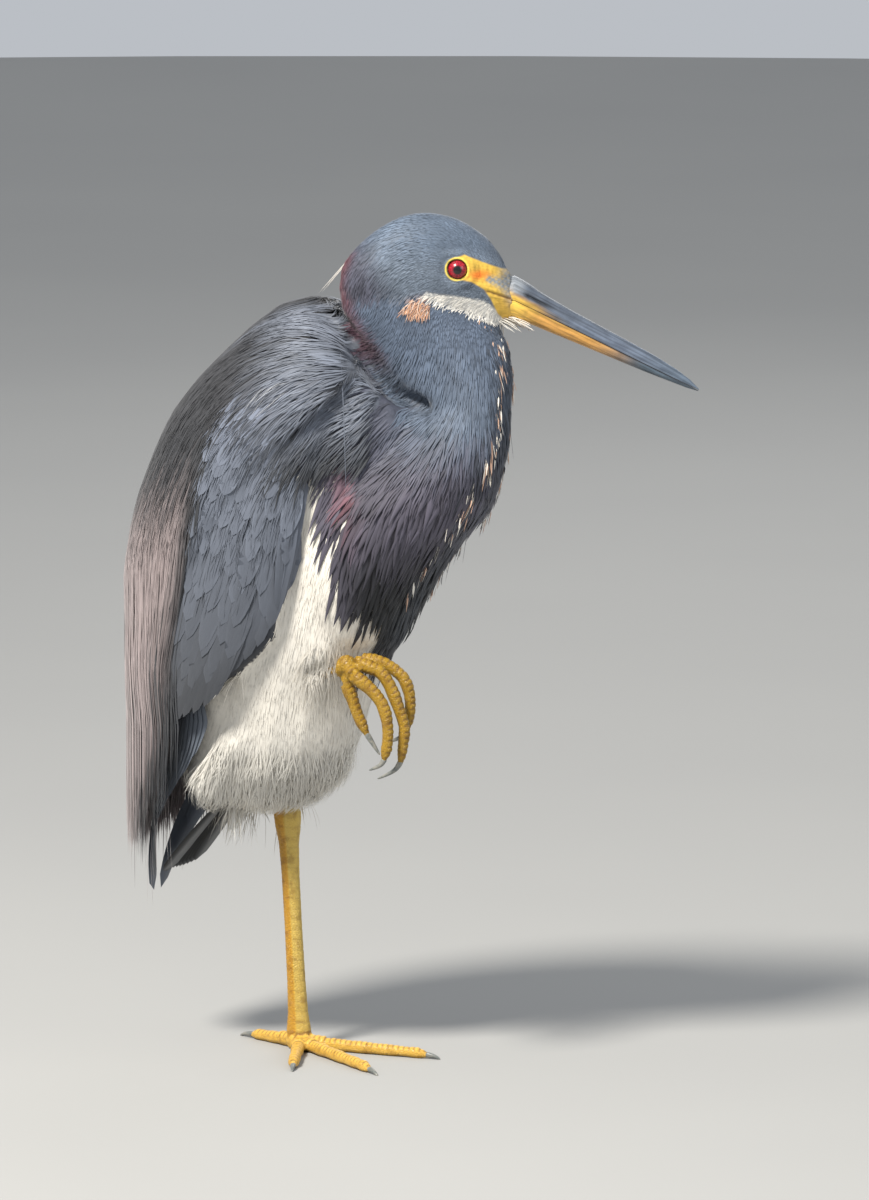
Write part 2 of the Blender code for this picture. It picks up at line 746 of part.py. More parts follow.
def make_raised_foot(skin, horn, collection, helpers):
    origin, forward, outward = raised_frame()

    def place(reach, height, aside):
        return origin + forward * reach + outward * aside + Vector((0, 0, height))

    pieces, stems = [], []
    for number, ((stem_side, tip_side), spots, claw) in RAISED_TOES.items():
        last = len(spots) - 1
        points = [
            place(reach, height, stem_side + (tip_side - stem_side) * i / last)
            for i, (reach, height) in enumerate(spots)
        ]
        count = 2 * len(spots) - 1
        path = path_through(points, count)
        radii = []
        for i in range(count):
            taper = 1 - TOE_TAPER * i / (count - 1)
            radii.append(TOE_RADIUS * taper * (1.02 if i % 4 == 1 else 0.93))
        radii[-1] *= 0.75
        pieces.append(solid(f"toe_right_{number}", tube_rings(path, radii, 8), skin, collection))
        bend, tip = (place(*spot, tip_side) for spot in claw)
        start = path[-1] + (path[-1] - path[-2]).normalized() * 2 * GAP
        claw_path = path_through([start, bend, tip], 5)
        claw_radii = [radii[-1] * 0.82 * (1 - 0.85 * share) for share in spread(0, 1, 5)]
        pieces.append(solid(f"claw_right_{number}", tube_rings(claw_path, claw_radii, 6), horn, collection))
        backward = (path[0] - path[1]).normalized()
        root = place(6.2, -3.4, stem_side * 0.55)
        stem_path = path_through([root, (root + path[0]) / 2, path[0] + backward * GAP], 5)
        stem_radii = [TOE_RADIUS * 0.95] * 4 + [radii[0]]
        stems.append(tube_rings(stem_path, stem_radii, 8))
    shank = path_through([place(-15, -8.5, 0.4), place(-7, -5, 0.2), place(1.6, -2.0, 0)], 4)
    pieces.append(solid("shank_right", tube_rings(shank, [3.7, 3.8, 4.0, 4.1], 10), skin, collection))
    along = (shank[-1] - shank[-2]).normalized()
    ball = [shank[-1] + along * reach for reach in (GAP, 1.7, 3.8, 5.4)]
    pad = tube_rings(ball, [4.0, 4.5, 4.2, 2.8], 10)
    pieces.append(join_solids("foot_right", [pad, *stems], skin, collection, helpers))
    return pieces


# ---------------------------------------------------------------- assembly


def main():
    clear_scene()
    collection = new_collection("heron")
    helpers = new_collection("cutters", shown=False)

    slate = finish("slate_feathers", SLATE, 0.75)
    plum = finish("plum_feathers", PLUM, 0.75)
    taupe = finish("back_plumes", TAUPE, 0.8)
    white = finish("white_feathers", WHITE, 0.85)
    dark = finish("flight_feathers", DARK_SLATE, 0.6)
    horn_grey = finish("bill_horn", HORN_GREY, 0.45)
    orange = finish("bill_orange", BILL_ORANGE, 0.45)
    skin = finish("leg_skin", LEG_ORANGE, 0.5)
    claw = finish("claw_horn", CLAW_GREY, 0.4)
    iris = finish("iris", IRIS_RED, 0.1)

    stance = bpy.data.objects.new("stance", None)
    collection.objects.link(stance)
    stance.location = Vector(BODY_PLACE) * MM

    trunk = make_trunk(white, collection)
    breast = make_breast(plum, collection)
    middle = make_neck("neck_middle", 0, NECK_PARTING, slate, collection)
    upper = make_neck("neck_upper", NECK_PARTING, len(NECK) - 1, slate, collection, closed_top=True)
    head = make_head(slate, collection)
    eyes = make_eyes(iris, collection)
    bill = make_bill(horn_grey, orange, collection)
    wings = make_wings(slate, dark, collection)
    mantle = make_mantle(taupe, collection)
    tail = make_tail(dark, collection)
    thighs = make_thighs(white, collection)
    raised = make_raised_foot(skin, claw, collection, helpers)

    stems, toes = make_standing_foot(skin, claw, collection)
    shank = make_shank(skin, collection)
    sole = make_sole(stems, skin, collection, helpers)

    on_body = [trunk, breast, middle, upper, head, *eyes, *bill, *wings, mantle, tail, *thighs, *raised]
    for piece in on_body:
        piece.parent = stance
    shank.parent = stance
    shank.location = Vector((-BODY_PLACE[0], -BODY_PLACE[1], 0)) * MM
    bpy.context.view_layer.update()

    raised_shank, foot = raised[-2:]
    quills = wings[1::2]
    cut(head, eyes, SOCKET_GAP, helpers)
    cut(upper, [head], GAP, helpers)
    cut(mantle, [upper, middle, head], GAP, helpers)
    cut(foot, [*raised[:8:2], raised_shank], GAP, helpers)
    cut(breast, [foot, raised[0], raised[4]], GAP, helpers)
    cut(thighs[0], [shank], GAP, helpers)
    cut(thighs[1], [quills[0], tail], GAP, helpers)
    cut(trunk, [breast, middle, upper, *thighs, *quills, tail, raised_shank, shank], TRUNK_GAP, helpers)


main()
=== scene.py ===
"""A tricolored heron at life size, its plumage laid feather by feather over one skin."""

import itertools
import math

import bmesh
import bpy
import numpy as np
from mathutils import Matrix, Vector
from mathutils.bvhtree import BVHTree


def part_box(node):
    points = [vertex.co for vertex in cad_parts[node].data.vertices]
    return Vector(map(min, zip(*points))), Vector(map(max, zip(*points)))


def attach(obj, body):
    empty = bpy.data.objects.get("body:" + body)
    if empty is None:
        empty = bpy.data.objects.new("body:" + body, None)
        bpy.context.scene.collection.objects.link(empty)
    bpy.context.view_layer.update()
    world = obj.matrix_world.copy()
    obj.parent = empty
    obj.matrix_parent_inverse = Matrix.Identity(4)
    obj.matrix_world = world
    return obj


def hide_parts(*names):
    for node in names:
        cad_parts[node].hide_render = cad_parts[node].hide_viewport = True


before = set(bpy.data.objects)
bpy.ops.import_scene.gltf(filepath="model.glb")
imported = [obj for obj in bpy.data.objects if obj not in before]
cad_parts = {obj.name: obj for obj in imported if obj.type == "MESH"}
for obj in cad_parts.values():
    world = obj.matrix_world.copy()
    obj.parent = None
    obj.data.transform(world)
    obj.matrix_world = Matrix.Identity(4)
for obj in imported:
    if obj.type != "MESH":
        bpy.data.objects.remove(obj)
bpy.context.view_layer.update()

MM = 0.001
FULL_TURN = 6.28

# All places below are in millimetres. The body's frame and the head's pivot stand here in the model's.
BODY_PLACE = np.array((7.4, -14.0, 0.0))
HEAD_PIVOT = np.array((69.4, -10.0, 0.0))
HEAD_TURN = math.radians(28.0)
HEAD_FORWARD = np.array((math.cos(HEAD_TURN), math.sin(HEAD_TURN), 0.0))
HEAD_LEFT = np.array((-math.sin(HEAD_TURN), math.cos(HEAD_TURN), 0.0))
UPWARD = np.array((0.0, 0.0, 1.0))
EYES = {
    name: np.array(sum(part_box(name), Vector())) / 2 / MM for name in ("eye_right", "eye_left")
}
BETWEEN_EYES = sum(EYES.values()) / 2
EYE_REACH = float((BETWEEN_EYES - HEAD_PIVOT) @ HEAD_FORWARD)
EYE_HEIGHT = float(BETWEEN_EYES[2])
EYE_RADIUS = 5.0
BILL_DROP = math.radians(26.6)
BILL_ALONG = HEAD_FORWARD * math.cos(BILL_DROP) - UPWARD * math.sin(BILL_DROP)
BILL_UP = HEAD_FORWARD * math.sin(BILL_DROP) + UPWARD * math.cos(BILL_DROP)
BILL_ROOT = HEAD_PIVOT + HEAD_FORWARD * 36.9 + UPWARD * 338.0
BILL_LENGTH = 89.0

HANDS = {"right": -1, "left": 1}
SIDES = ("left", "right")
DIGITS = (1, 2, 3, 4)
# Which part of the bird each node of flesh belongs to.
HOMES = {
    "trunk": "trunk", "neck_lower": "breast", "neck_middle": "neck", "neck_upper": "neck", "head": "head",
    "thigh_left": "trunk", "thigh_right": "trunk", "wing_left": "wing", "wing_right": "wing",
}
FLESH = tuple(HOMES)
QUILL_NODES = ("primaries_left", "primaries_right", "tail")
LEGS = (
    *(f"{part}_{side}" for part in ("shank", "foot") for side in SIDES),
    *(f"toe_{side}_{number}" for side in SIDES for number in DIGITS),
)
CLAWS = {side: [f"claw_{side}_{number}" for number in DIGITS] for side in SIDES}


# ---------------------------------------------------------------- numbers


def unit(vectors):
    return vectors / np.maximum(np.linalg.norm(vectors, axis=-1, keepdims=True), 1e-9)


def ramp(value, low, high):
    """0 at low, 1 at high, smooth between."""
    share = np.clip((value - low) / (high - low), 0.0, 1.0)
    return share * share * (3 - 2 * share)


def bell(value, width):
    """1 at 0, falling away smoothly on both sides."""
    return np.exp(-((value / width) ** 2))


def linear(red, green, blue):
    """A paint's linear colour from its display values of 0 to 255."""
    value = np.array((red, green, blue)) / 255.0
    return np.where(value <= 0.04045, value / 12.92, ((value + 0.055) / 1.055) ** 2.4)


def blend(under, over, share):
    return under + (over - under) * share[..., None]


def layered(count, base, *layers):
    """Colours of a base paint under layers, each a paint and its share at every place."""
    colours = np.tile(base, (count, 1))
    for paint, share in layers:
        colours = blend(colours, paint, share)
    return colours


def to_body(points):
    return points - BODY_PLACE


def to_face(points):
    """Reach before the eyes, distance to the left of the middle, height over the eyes."""
    offset = points - HEAD_PIVOT
    return np.stack(
        (offset @ HEAD_FORWARD - EYE_REACH, offset @ HEAD_LEFT, offset[:, 2] - EYE_HEIGHT), axis=1
    )


def from_face(places):
    reach, left, height = np.array(places, float).T[..., None]
    return (
        HEAD_PIVOT + HEAD_FORWARD * (reach + EYE_REACH) + HEAD_LEFT * left
        + UPWARD * (height + EYE_HEIGHT)
    )


def read(table, places, column=1):
    """The table's column at the places, on straight lines between its rows."""
    rows = np.array(table, float)
    return np.interp(places, rows[:, 0], rows[:, column])


def at_heights(line, heights):
    """The reach and the side of a line that runs down the body, at these heights."""
    rows = np.array(line, float)[::-1]
    return [np.interp(heights, rows[:, 2], rows[:, column]) for column in (0, 1)]


def from_segment(points, low, high):
    """The share of a segment where each place is nearest to it, and the offset and distance from there."""
    span = high - low
    share = np.clip((points - low) @ span / (span @ span), 0, 1)
    offset = points - low - share[..., None] * span
    return share, offset, np.linalg.norm(offset, axis=-1)


def near_line(points, line):
    """Distance of each place from a broken line."""
    line = np.array(line, float)
    return np.min([from_segment(points, low, high)[2] for low, high in zip(line, line[1:])], axis=0)


def inside(points, outline):
    """Signed distance of 2-D points from a closed outline, positive inside it."""
    crossing = np.zeros(len(points), bool)
    x, y = points.T
    for (x0, y0), (x1, y1) in zip(outline, outline[1:] + outline[:1]):
        cross_at = x0 + (y - y0) * (x1 - x0) / ((y1 - y0) or 1e-9)
        crossing ^= ((y0 > y) != (y1 > y)) & (x < cross_at)
    gap = near_line(points, outline + outline[:1])
    return np.where(crossing, gap, -gap)


# ---------------------------------------------------------------- meshes


def linked(name, data):
    """A new object in the scene."""
    thing = bpy.data.objects.new(name, data)
    bpy.context.scene.collection.objects.link(thing)
    return thing


def take(*pieces):
    """Selects only these pieces and makes the first active."""
    bpy.ops.object.select_all(action="DESELECT")
    for piece in pieces:
        piece.select_set(True)
    bpy.context.view_layer.objects.active = pieces[0]


def join(pieces):
    take(*pieces)
    bpy.ops.object.join()
    return pieces[0]


def smooth(piece):
    take(piece)
    bpy.ops.object.shade_smooth()


def edit(piece, operation, **settings):
    """Runs an operation on all of a piece's mesh."""
    take(piece)
    bpy.ops.object.mode_set(mode="EDIT")
    bpy.ops.mesh.select_all(action="SELECT")
    operation(**settings)
    bpy.ops.object.mode_set(mode="OBJECT")


def apply(piece, kind, **settings):
    take(piece)
    modifier = piece.modifiers.new(kind.lower(), kind)
    for name, value in settings.items():
        setattr(modifier, name, value)
    bpy.ops.object.modifier_apply(modifier=modifier.name)


def smooth_points(piece, repeats):
    apply(piece, "SMOOTH", factor=0.5, iterations=repeats)


def remesh(piece, voxel, smoothing, whole=True):
    """Wraps overlapping solids in one even mesh."""
    apply(piece, "REMESH", mode="VOXEL", voxel_size=voxel * MM, adaptivity=0.0)
    if whole:
        keep_largest(piece)
    smooth_points(piece, smoothing)


def values_of(items, name, size, kind=float):
    flat = np.empty(len(items) * size, kind)
    items.foreach_get(name, flat)
    return flat.reshape(-1, size)


def spots_of(piece):
    return values_of(piece.data.vertices, "co", 3) / MM


def normals_of(piece):
    return values_of(piece.data.vertices, "normal", 3)


def put_spots(piece, points):
    piece.data.vertices.foreach_set("co", (points * MM).ravel())
    piece.data.update()


def set_colour(piece, name, colours):
    layer = piece.data.attributes.new(name, "FLOAT_COLOR", "POINT")
    rgba = np.ones((len(colours), 4))
    rgba[:, :3] = colours
    layer.data.foreach_set("color", rgba.ravel())


def set_vector(piece, name, *columns):
    layer = piece.data.attributes.new(name, "FLOAT_VECTOR", "POINT")
    layer.data.foreach_set("vector", np.stack(np.broadcast_arrays(*columns), axis=-1).ravel())


def merged_copy(nodes, name, swell):
    """One new mesh from copies of the solids' nodes, each a little swollen so that they overlap."""
    copies = []
    for node in nodes:
        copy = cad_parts[node].copy()
        copy.data = copy.data.copy()
        copy.parent = None
        copy.hide_render = copy.hide_viewport = False
        bpy.context.scene.collection.objects.link(copy)
        edit(copy, bpy.ops.mesh.remove_doubles, threshold=1e-5)
        apply(copy, "DISPLACE", strength=swell * MM, mid_level=0.0)
        copies.append(copy)
    piece = join(copies)
    piece.name = piece.data.name = name
    piece.data.materials.clear()
    return piece


def keep_largest(piece):
    """Drops the small closed bubbles that a remesh leaves inside."""
    mesh = bmesh.new()
    mesh.from_mesh(piece.data)
    groups = []
    left = set(mesh.verts)
    while left:
        stack = [left.pop()]
        group = set(stack)
        while stack:
            for edge in stack.pop().link_edges:
                found = left.intersection(edge.verts)
                left -= found
                group |= found
                stack += found
        groups.append(group)
    keep = max(groups, key=len)
    loose = [vertex for group in groups if group is not keep for vertex in group]
    bmesh.ops.delete(mesh, geom=loose, context="VERTS")
    mesh.to_mesh(piece.data)
    mesh.free()


def one_to_a_cell(roots, spacing):
    cells = np.floor(roots / spacing).astype(int)
    return np.unique(cells, axis=0, return_index=True)[1]


def spread_out(roots, spacing):
    """The places left when any nearer than the spacing to one already kept is dropped."""
    kept = {}
    chosen = []
    around = list(itertools.product((-1, 0, 1), repeat=3))
    for index, spot in enumerate(roots.tolist()):
        x, y, z = (int(value // spacing) for value in spot)
        others = [other for a, b, c in around for other in kept.get((x + a, y + b, z + c), ())]
        if all(math.dist(spot, other) > spacing for other in others):
            kept.setdefault((x, y, z), []).append(spot)
            chosen.append(index)
    return np.array(chosen)


class Surface:
    """A mesh that feathers are seated on, in millimetres."""

    def __init__(self, piece):
        mesh = piece.data
        mesh.calc_loop_triangles()
        self.points = spots_of(piece)
        self.faces = values_of(mesh.loop_triangles, "vertices", 3, np.int32)
        self.loops = values_of(mesh.loop_triangles, "loops", 3, np.int32)
        self.tree = BVHTree.FromPolygons(self.points.tolist(), self.faces.tolist())
        self.normals = unit(normals_of(piece)[self.faces].mean(axis=1))
        corners = self.points[self.faces]
        cross = np.cross(corners[:, 1] - corners[:, 0], corners[:, 2] - corners[:, 0])
        self.areas = np.linalg.norm(cross, axis=1) / 2
        self.centres = corners.mean(axis=1)

    def seat(self, points):
        """The nearest points of the surface, its smooth normals there and its faces."""
        found = [self.tree.find_nearest(point) for point in points.tolist()]
        spots = np.array([hit[0][:] for hit in found])
        faces = np.array([hit[2] for hit in found])
        return spots, self.normals[faces], faces

    def gaps(self, points):
        return np.array([self.tree.find_nearest(point)[3] for point in points.tolist()])

    def scatter(self, weights, spacing, seed, even=False):
        """Roots spread evenly, about one to each square of the spacing, where the weights are over 0."""
        rng = np.random.default_rng(seed)
        areas = self.areas * weights
        count = int((12 if even else 2.6) * areas.sum() / spacing**2)
        picked = rng.choice(len(areas), count, p=areas / areas.sum())
        a, b = rng.random((2, count, 1))
        flip = a + b > 1
        a, b = np.where(flip, 1 - a, a), np.where(flip, 1 - b, b)
        first, second, third = self.points[self.faces[picked]].transpose(1, 0, 2)
        roots = first * (1 - a - b) + second * a + third * b
        chosen = (spread_out if even else one_to_a_cell)(roots, spacing)
        return roots[chosen], picked[chosen]


# ---------------------------------------------------------------- the lie of the plumage

# In the body's frame: reach, half-breadth, height, then the way a feather points, forward and up.
BODY_LIE = (
    (55, 10, 299, -.9, -.2), (46, 11, 309, -.9, .3), (38, 14, 320, -.85, .35), (32, 16, 331, -.85, .2),
    (28, 24, 319, -.95, -.05), (13, 25, 322, -.9, -.35), (8, 35, 310, -.75, -.65), (21, 40, 298, -.8, -.6),
    (31, 29, 289, -.8, -.6), (17, 41, 276, -.55, -.83), (38, 24, 297, -.97, -.1), (44, 26, 285, -.85, -.5),
    (32, 32, 267, -.6, -.8), (41, 34, 246, -.38, -.93), (39, 36, 214, -.3, -.95), (53, 20, 280, -.65, -.75),
    (63, 25, 268, -.4, -.9), (62, 32, 238, -.35, -.94), (52, 27, 210, -.35, -.94), (72, 19, 281, -.12, -1),
    (79, 26, 252, -.3, -.95), (88, 15, 286, 0, -1), (99, 8, 282, -.1, -1), (93, 10, 250, -.5, -.85),
    (73, 6, 226, -.55, -.83), (58, 7, 205, -.5, -.86), (76, 11, 307, .1, -1), (92, 4, 308, 0, -1),
    (57, 13, 311, .5, -.86), (46, 16, 321, .35, -.94), (66, 12, 325, 0, -1), (82, 5, 322, -.05, -1),
    (95, 5, 318, .1, -1), (-17, 14, 319, -.8, -.6), (-28, 27, 300, -.55, -.83), (-43, 32, 275, -.35, -.93),
    (-53, 35, 239, -.15, -1), (-61, 34, 193, -.04, -1), (-70, 23, 138, 0, -1), (4, 45, 284, -.45, -.9),
    (-6, 45, 252, -.32, -.95), (5, 46, 227, -.2, -.98), (-13, 46, 217, -.28, -.96), (-3, 45, 190, -.45, -.9),
    (-24, 44, 180, -.4, -.92), (-34, 40, 161, -.5, -.86), (22, 36, 244, -.02, -1), (19, 36, 209, -.1, -1),
    (26, 30, 181, 0, -1), (3, 34, 167, -.15, -.99), (13, 25, 144, 0, -1), (26, 16, 148, .15, -.99),
    (-14, 30, 134, -.3, -.95), (-27, 29, 124, -.35, -.94), (1, 20, 123, -.05, -1), (-60, 4, 250, -.2, -1),
    (-76, 4, 180, -.02, -1), (-78, 4, 120, 0, -1), (0, 0, 331, -1, -.1), (40, 0, 190, -.2, -1),
    (50, 0, 240, -.3, -.95),
)
# On the head: reach before the eyes, height over them, and the way a feather points, forward and up.
HEAD_LIE = (
    (21, 4, -.55, .8), (10, 14, -.8, .6), (-10, 23, -1, 0), (-29, 18, -.9, -.4), (-42, 8, -.6, -.8),
    (-49, -3, -.3, -.95), (-16, 6, -.95, -.2), (-7, -6, -.97, -.2), (-25, -6, -.8, -.55),
    (-36, 1, -.7, -.7), (-40, -13, -.2, -1), (-21, -21, -.2, -.97), (6, -10, -.97, -.2), (1, 9, -.95, .3),
    (15, 6, -.85, .4), (6, -16, -.95, -.3), (17, -21, -.9, -.35), (-7, -19, -.6, -.8),
    (10, -24, -.5, -.85),
)


def guided(places, guides, ways, spread):
    """The mean of the guides' ways at each place, the nearer guides counting for more."""
    gaps = ((places[:, None] - guides[None]) ** 2).sum(axis=2)
    weights = np.exp(-gaps / (2 * spread**2)) + 1e-12
    return weights @ ways / weights.sum(axis=1)[:, None]


def lie(points):
    """The way that feathers point at these places."""
    guides = np.array(BODY_LIE, float)
    spots = np.concatenate([guides[:, :3] * (1, hand, 1) for hand in (-1, 1)])
    flat = guided(to_body(points), spots, np.concatenate([guides[:, 3:]] * 2), 17.0)
    on_body = np.stack((flat[:, 0], 0 * flat[:, 0], flat[:, 1]), axis=1)
    guides = np.array(HEAD_LIE, float)
    flat = guided(to_face(points)[:, ::2], guides[:, :2], guides[:, 2:], 8.0)
    on_head = flat[:, :1] * HEAD_FORWARD + flat[:, 1:] * UPWARD
    share = ramp(points[:, 2], 326, 338)[:, None]
    return unit(on_body * (1 - share) + on_head * share)


# ---------------------------------------------------------------- markings

CROWN = linear(92, 105, 122)
CHEEK = linear(107, 118, 132)
NAPE = linear(69, 67, 81)
NAPE_RED = linear(98, 58, 68)
EAR = linear(199, 146, 109)
CHIN_WHITE = linear(236, 232, 224)
NECK_SLATE = linear(84, 96, 114)
NECK_LOW = linear(86, 97, 113)
BREAST_TOP = linear(82, 85, 99)
BREAST_PLUM = linear(76, 73, 85)
BREAST_LOW = linear(24, 26, 29)
BREAST_RED = linear(110, 68, 78)
BELLY = linear(236, 231, 221)
BELLY_GREY = linear(197, 195, 189)
WING_TOP = linear(94, 100, 112)
WING_LOW = linear(50, 52, 56)
SHOULDER = linear(110, 117, 132)
MANTLE_FRONT = linear(99, 105, 117)
MANTLE_TOP = linear(53, 54, 58)
MANTLE_TAUPE = linear(144, 132, 132)
WISP = linear(158, 160, 164)
QUILL = linear(92, 99, 110)
TAIL_DARK = linear(14, 19, 24)
LORES = linear(222, 182, 76)
LORES_ORANGE = linear(241, 133, 47)
LORES_GREY = linear(150, 152, 150)
RING = linear(240, 214, 96)
RUSTY = linear(196, 160, 138)
FRINGE_DARK = linear(58, 64, 74)
GAPE_BROWN = linear(120, 84, 50)
LID_DARK = linear(52, 38, 24)
DASH_PALE = linear(214, 204, 192)
STRAND_PALE = linear(226, 220, 210)
NAPE_WHITE = linear(190, 186, 180)
CLAW_GREY = linear(104, 108, 106)
CLAW_PALE = linear(140, 138, 130)
IRIS_RED = linear(118, 4, 24)
IRIS_BRIGHT = linear(186, 16, 44)
IRIS_INNER = linear(96, 6, 18)
IRIS_RIM = linear(66, 8, 14)
PUPIL = np.full(3, 0.002)

# Outlines on the side of the head, as reach before the eyes and height over them.
LORES_OUTLINE = [
    (-2.5, 4.2), (3, 6.2), (10, 3.0), (19, -0.6), (26, -2.3), (26, -24), (20, -22.5), (17.6, -20),
    (14.5, -13), (11.4, -8.6), (6, -5.2), (-1.5, -3.6), (-4, 0),
]
CHIN_TOP = [(-13.6, -11), (0, -12.6), (11, -14.7), (17, -19)]
CHIN_BOTTOM = [(-10, -15), (0, -17.3), (9.7, -20), (17, -22.5)]
CHIN_OUTLINE = CHIN_TOP + CHIN_BOTTOM[::-1]
EAR_PLACE = (-16.5, -16.0)
GAPE = [(4.5, -7.2), (14, -10.2), (25, -14.6)]
LORES_GROOVE = [(8, -1.6), (16, -5.2), (25, -9)]
LORES_STREAK = [(13.5, -4.6), (19, -6.6), (24, -6.0), (29, -8.0)]
STREAK_WIDTH = ((12, 1.2), (18, 2.0), (24, 4.4), (30, 5.0))

# Lines down the body, in its frame: the middle of the foreneck, the fold where the neck lies back on the
# shoulder, and the rufous and white dashes beside the middle of the foreneck.
FORENECK = [
    (88, 16, 330), (92, 15.5, 325), (96, 13.8, 318.6), (99.5, 10.6, 308), (102, 6.8, 296.5), (103, 1, 274),
    (100, 0, 260), (93, 0, 247), (81, 0, 235), (70, 0, 222), (60.7, 0, 208), (54, 0, 196),
]
CREASE = [
    (24.6, 12, 330), (33.7, 14, 324), (39, 12, 316), (45.8, 12, 308), (52, 11.7, 301), (58, 9, 296.5),
    (64, 9.5, 295),
]
DASH_LINE = [
    (82, 2.7, 334), (89.6, 7.7, 328), (94, 8.8, 321.5), (98, 5.8, 311), (100.5, 1.3, 298.5),
    (101.3, -3.9, 281), (99.7, -9.4, 269), (93, -14, 256), (72, -12, 227), (58, -12, 207),
]
# Where the long back plumes give way to the wing's smooth feathers: height and reach.
PLUME_FRONT = (
    (60, -40), (110, -62), (130, -58), (160, -46), (179, -37), (197, -32), (215, -29), (233, -26), (251, -22),
    (269, -19), (283, -15), (296, -9), (305, 1), (312, 16), (331, 44),
)
# The top of the smooth feathers by reach, above which the shoulder's hair-like plumes lie.
COVERT_TOP = ((-20, 298), (-8, 304), (2, 305), (10, 301), (16, 292), (20, 280), (24, 262), (30, 250))
# The lower edge of the folded wing by reach.
WING_HEM = ((-78, 122), (-60, 128), (-40, 143), (-21, 154), (-14, 162), (5, 183), (20, 205))
# The edge of the breast's plumes: height and how far forward their roots begin.
BREAST_EDGE = (
    (206, 66), (212, 61), (220, 48), (230, 44.5), (242, 43), (254, 40), (262, 37), (277, 31), (287, 27),
    (294, 18), (297, -90),
)


def across_crease(points):
    """How far each place lies over the fold, towards the neck, and its share of the fold's depth."""
    best, over = np.full(points.shape[:-1], 1e9), np.zeros(points.shape[:-1])
    body = to_body(points)
    body[..., 1] = np.abs(body[..., 1])
    line = np.array(CREASE, float)
    for low, high in zip(line, line[1:]):
        _, offset, gap = from_segment(body, low, high)
        forward, _, rise = high - low
        aside = (offset[..., 2] * forward - offset[..., 0] * rise) / math.hypot(forward, rise)
        over = np.where(gap < best, aside, over)
        best = np.minimum(best, gap)
    ends = bell(np.maximum(best - np.abs(over), 0), 5.0) * (best < 14)
    return over, ends * (0.2 + 0.8 * ramp(-points[..., 2], -326, -305))


def crease_shade(points):
    """Darkness in the fold between the neck and the shoulders, on both sides."""
    over, share = across_crease(points)
    return 1 - 0.94 * share * bell(over + 1.0, 2.7)


def dash_gap(points):
    """How far each place is from the dashes, on either side of the foreneck."""
    body = to_body(points)
    line = np.array(DASH_LINE, float)
    other = line.copy()
    other[:, 1] = 2 * at_heights(FORENECK, line[:, 2])[1] - line[:, 1]
    return np.minimum(near_line(body, line), near_line(body, other))


def foreneck_fringe(points):
    """The dark fringe down the middle of the foreneck."""
    return bell(near_line(to_body(points), FORENECK), 9.0)


def head_paint(points):
    face = to_face(points)
    reach, aside, height = face.T
    ear = np.exp(-(((reach - EAR_PLACE[0]) / 6.0) ** 2 + ((height - EAR_PLACE[1]) / 3.4) ** 2) * 1.4)
    chin = ramp(inside(face[:, ::2], CHIN_OUTLINE), -1.6, 0.4)
    under = ramp(-height, 17, 21) * ramp(reach, -4, 4)
    return layered(
        len(points), CHEEK,
        (CROWN, ramp(height, -2, 12)),
        (NECK_SLATE, ramp(-height, 12, 26)),
        (NAPE, ramp(-reach - 0.45 * height, 26, 44) * 0.85),
        (NAPE_RED, ramp(-reach - 0.2 * height, 40, 47) * ramp(9 - np.abs(aside), 0, 7)),
        (EAR, np.clip(ear * 1.3, 0, 1)),
        (CHIN_WHITE, np.maximum(chin, under)),
    )


def neck_paint(points):
    reach, height = to_body(points)[:, 0], points[:, 2]
    hind = ramp(-reach - 0.55 * (height - 317), -52, -41)
    return layered(
        len(points), NECK_SLATE,
        (NECK_LOW, ramp(-height, -318, -290)),
        (NAPE_RED, hind * 0.75 * ramp(height, 303, 318)),
        (FRINGE_DARK, foreneck_fringe(points) * 0.35),
    )


def breast_paint(points):
    reach, height = to_body(points)[:, 0], points[:, 2]
    from_red = ((reach - 41 + 0.3 * (height - 252)) / 4.2) ** 2 + ((height - 253) / 12) ** 2
    return layered(
        len(points), BREAST_TOP,
        (BREAST_PLUM, ramp(-height, -284, -250)),
        (NECK_LOW, ramp(height, 264, 292) * ramp(reach, 50, 70)),
        (BREAST_LOW, ramp(-height, -244, -208) * ramp(reach, 28, 52)),
        (BREAST_RED, np.exp(-from_red) * 0.85),
        (FRINGE_DARK, foreneck_fringe(points) * 0.55),
    )


def belly_paint(points):
    height = points[:, 2]
    # painted shade: the belly is darkened by up to 13%, from a height of 125 mm to 155 mm and above, toning
    # down the light on its bulge
    colours = layered(len(points), BELLY) * (1 - 0.13 * ramp(height, 125, 155))[:, None]
    return blend(colours, BELLY_GREY, ramp(-height, -165, -118) * 0.8)


def wing_paint(points):
    height = points[:, 2]
    top, low = ramp(-height, -292, -262), ramp(-height, -255, -160)
    return layered(len(points), SHOULDER, (WING_TOP, top), (WING_LOW, 0.9 * low))


def mantle_paint(points):
    reach, height = to_body(points)[:, 0], points[:, 2]
    behind = read(PLUME_FRONT, height) - reach
    return layered(
        len(points), MANTLE_TOP,
        (WING_LOW, ramp(-height, -300, -262)),
        (MANTLE_TAUPE, ramp(-height, -282, -236) * ramp(behind, 2, 15)),
        (MANTLE_FRONT, ramp(reach, -12, 18) * ramp(height, 262, 290)),
    )


PAINTS = {
    "wing": wing_paint, "trunk": belly_paint, "breast": breast_paint, "neck": neck_paint,
    "head": head_paint, "mantle": mantle_paint,
}


def plumage(points, homes):
    """The colour of the plumage over each place, by the part of the bird that it grows on."""
    colours = np.zeros((len(points), 3))
    for home, paint in PAINTS.items():
        chosen = homes == home
        if chosen.any():
            colours[chosen] = paint(points[chosen])
    return colours * crease_shade(points)[:, None]


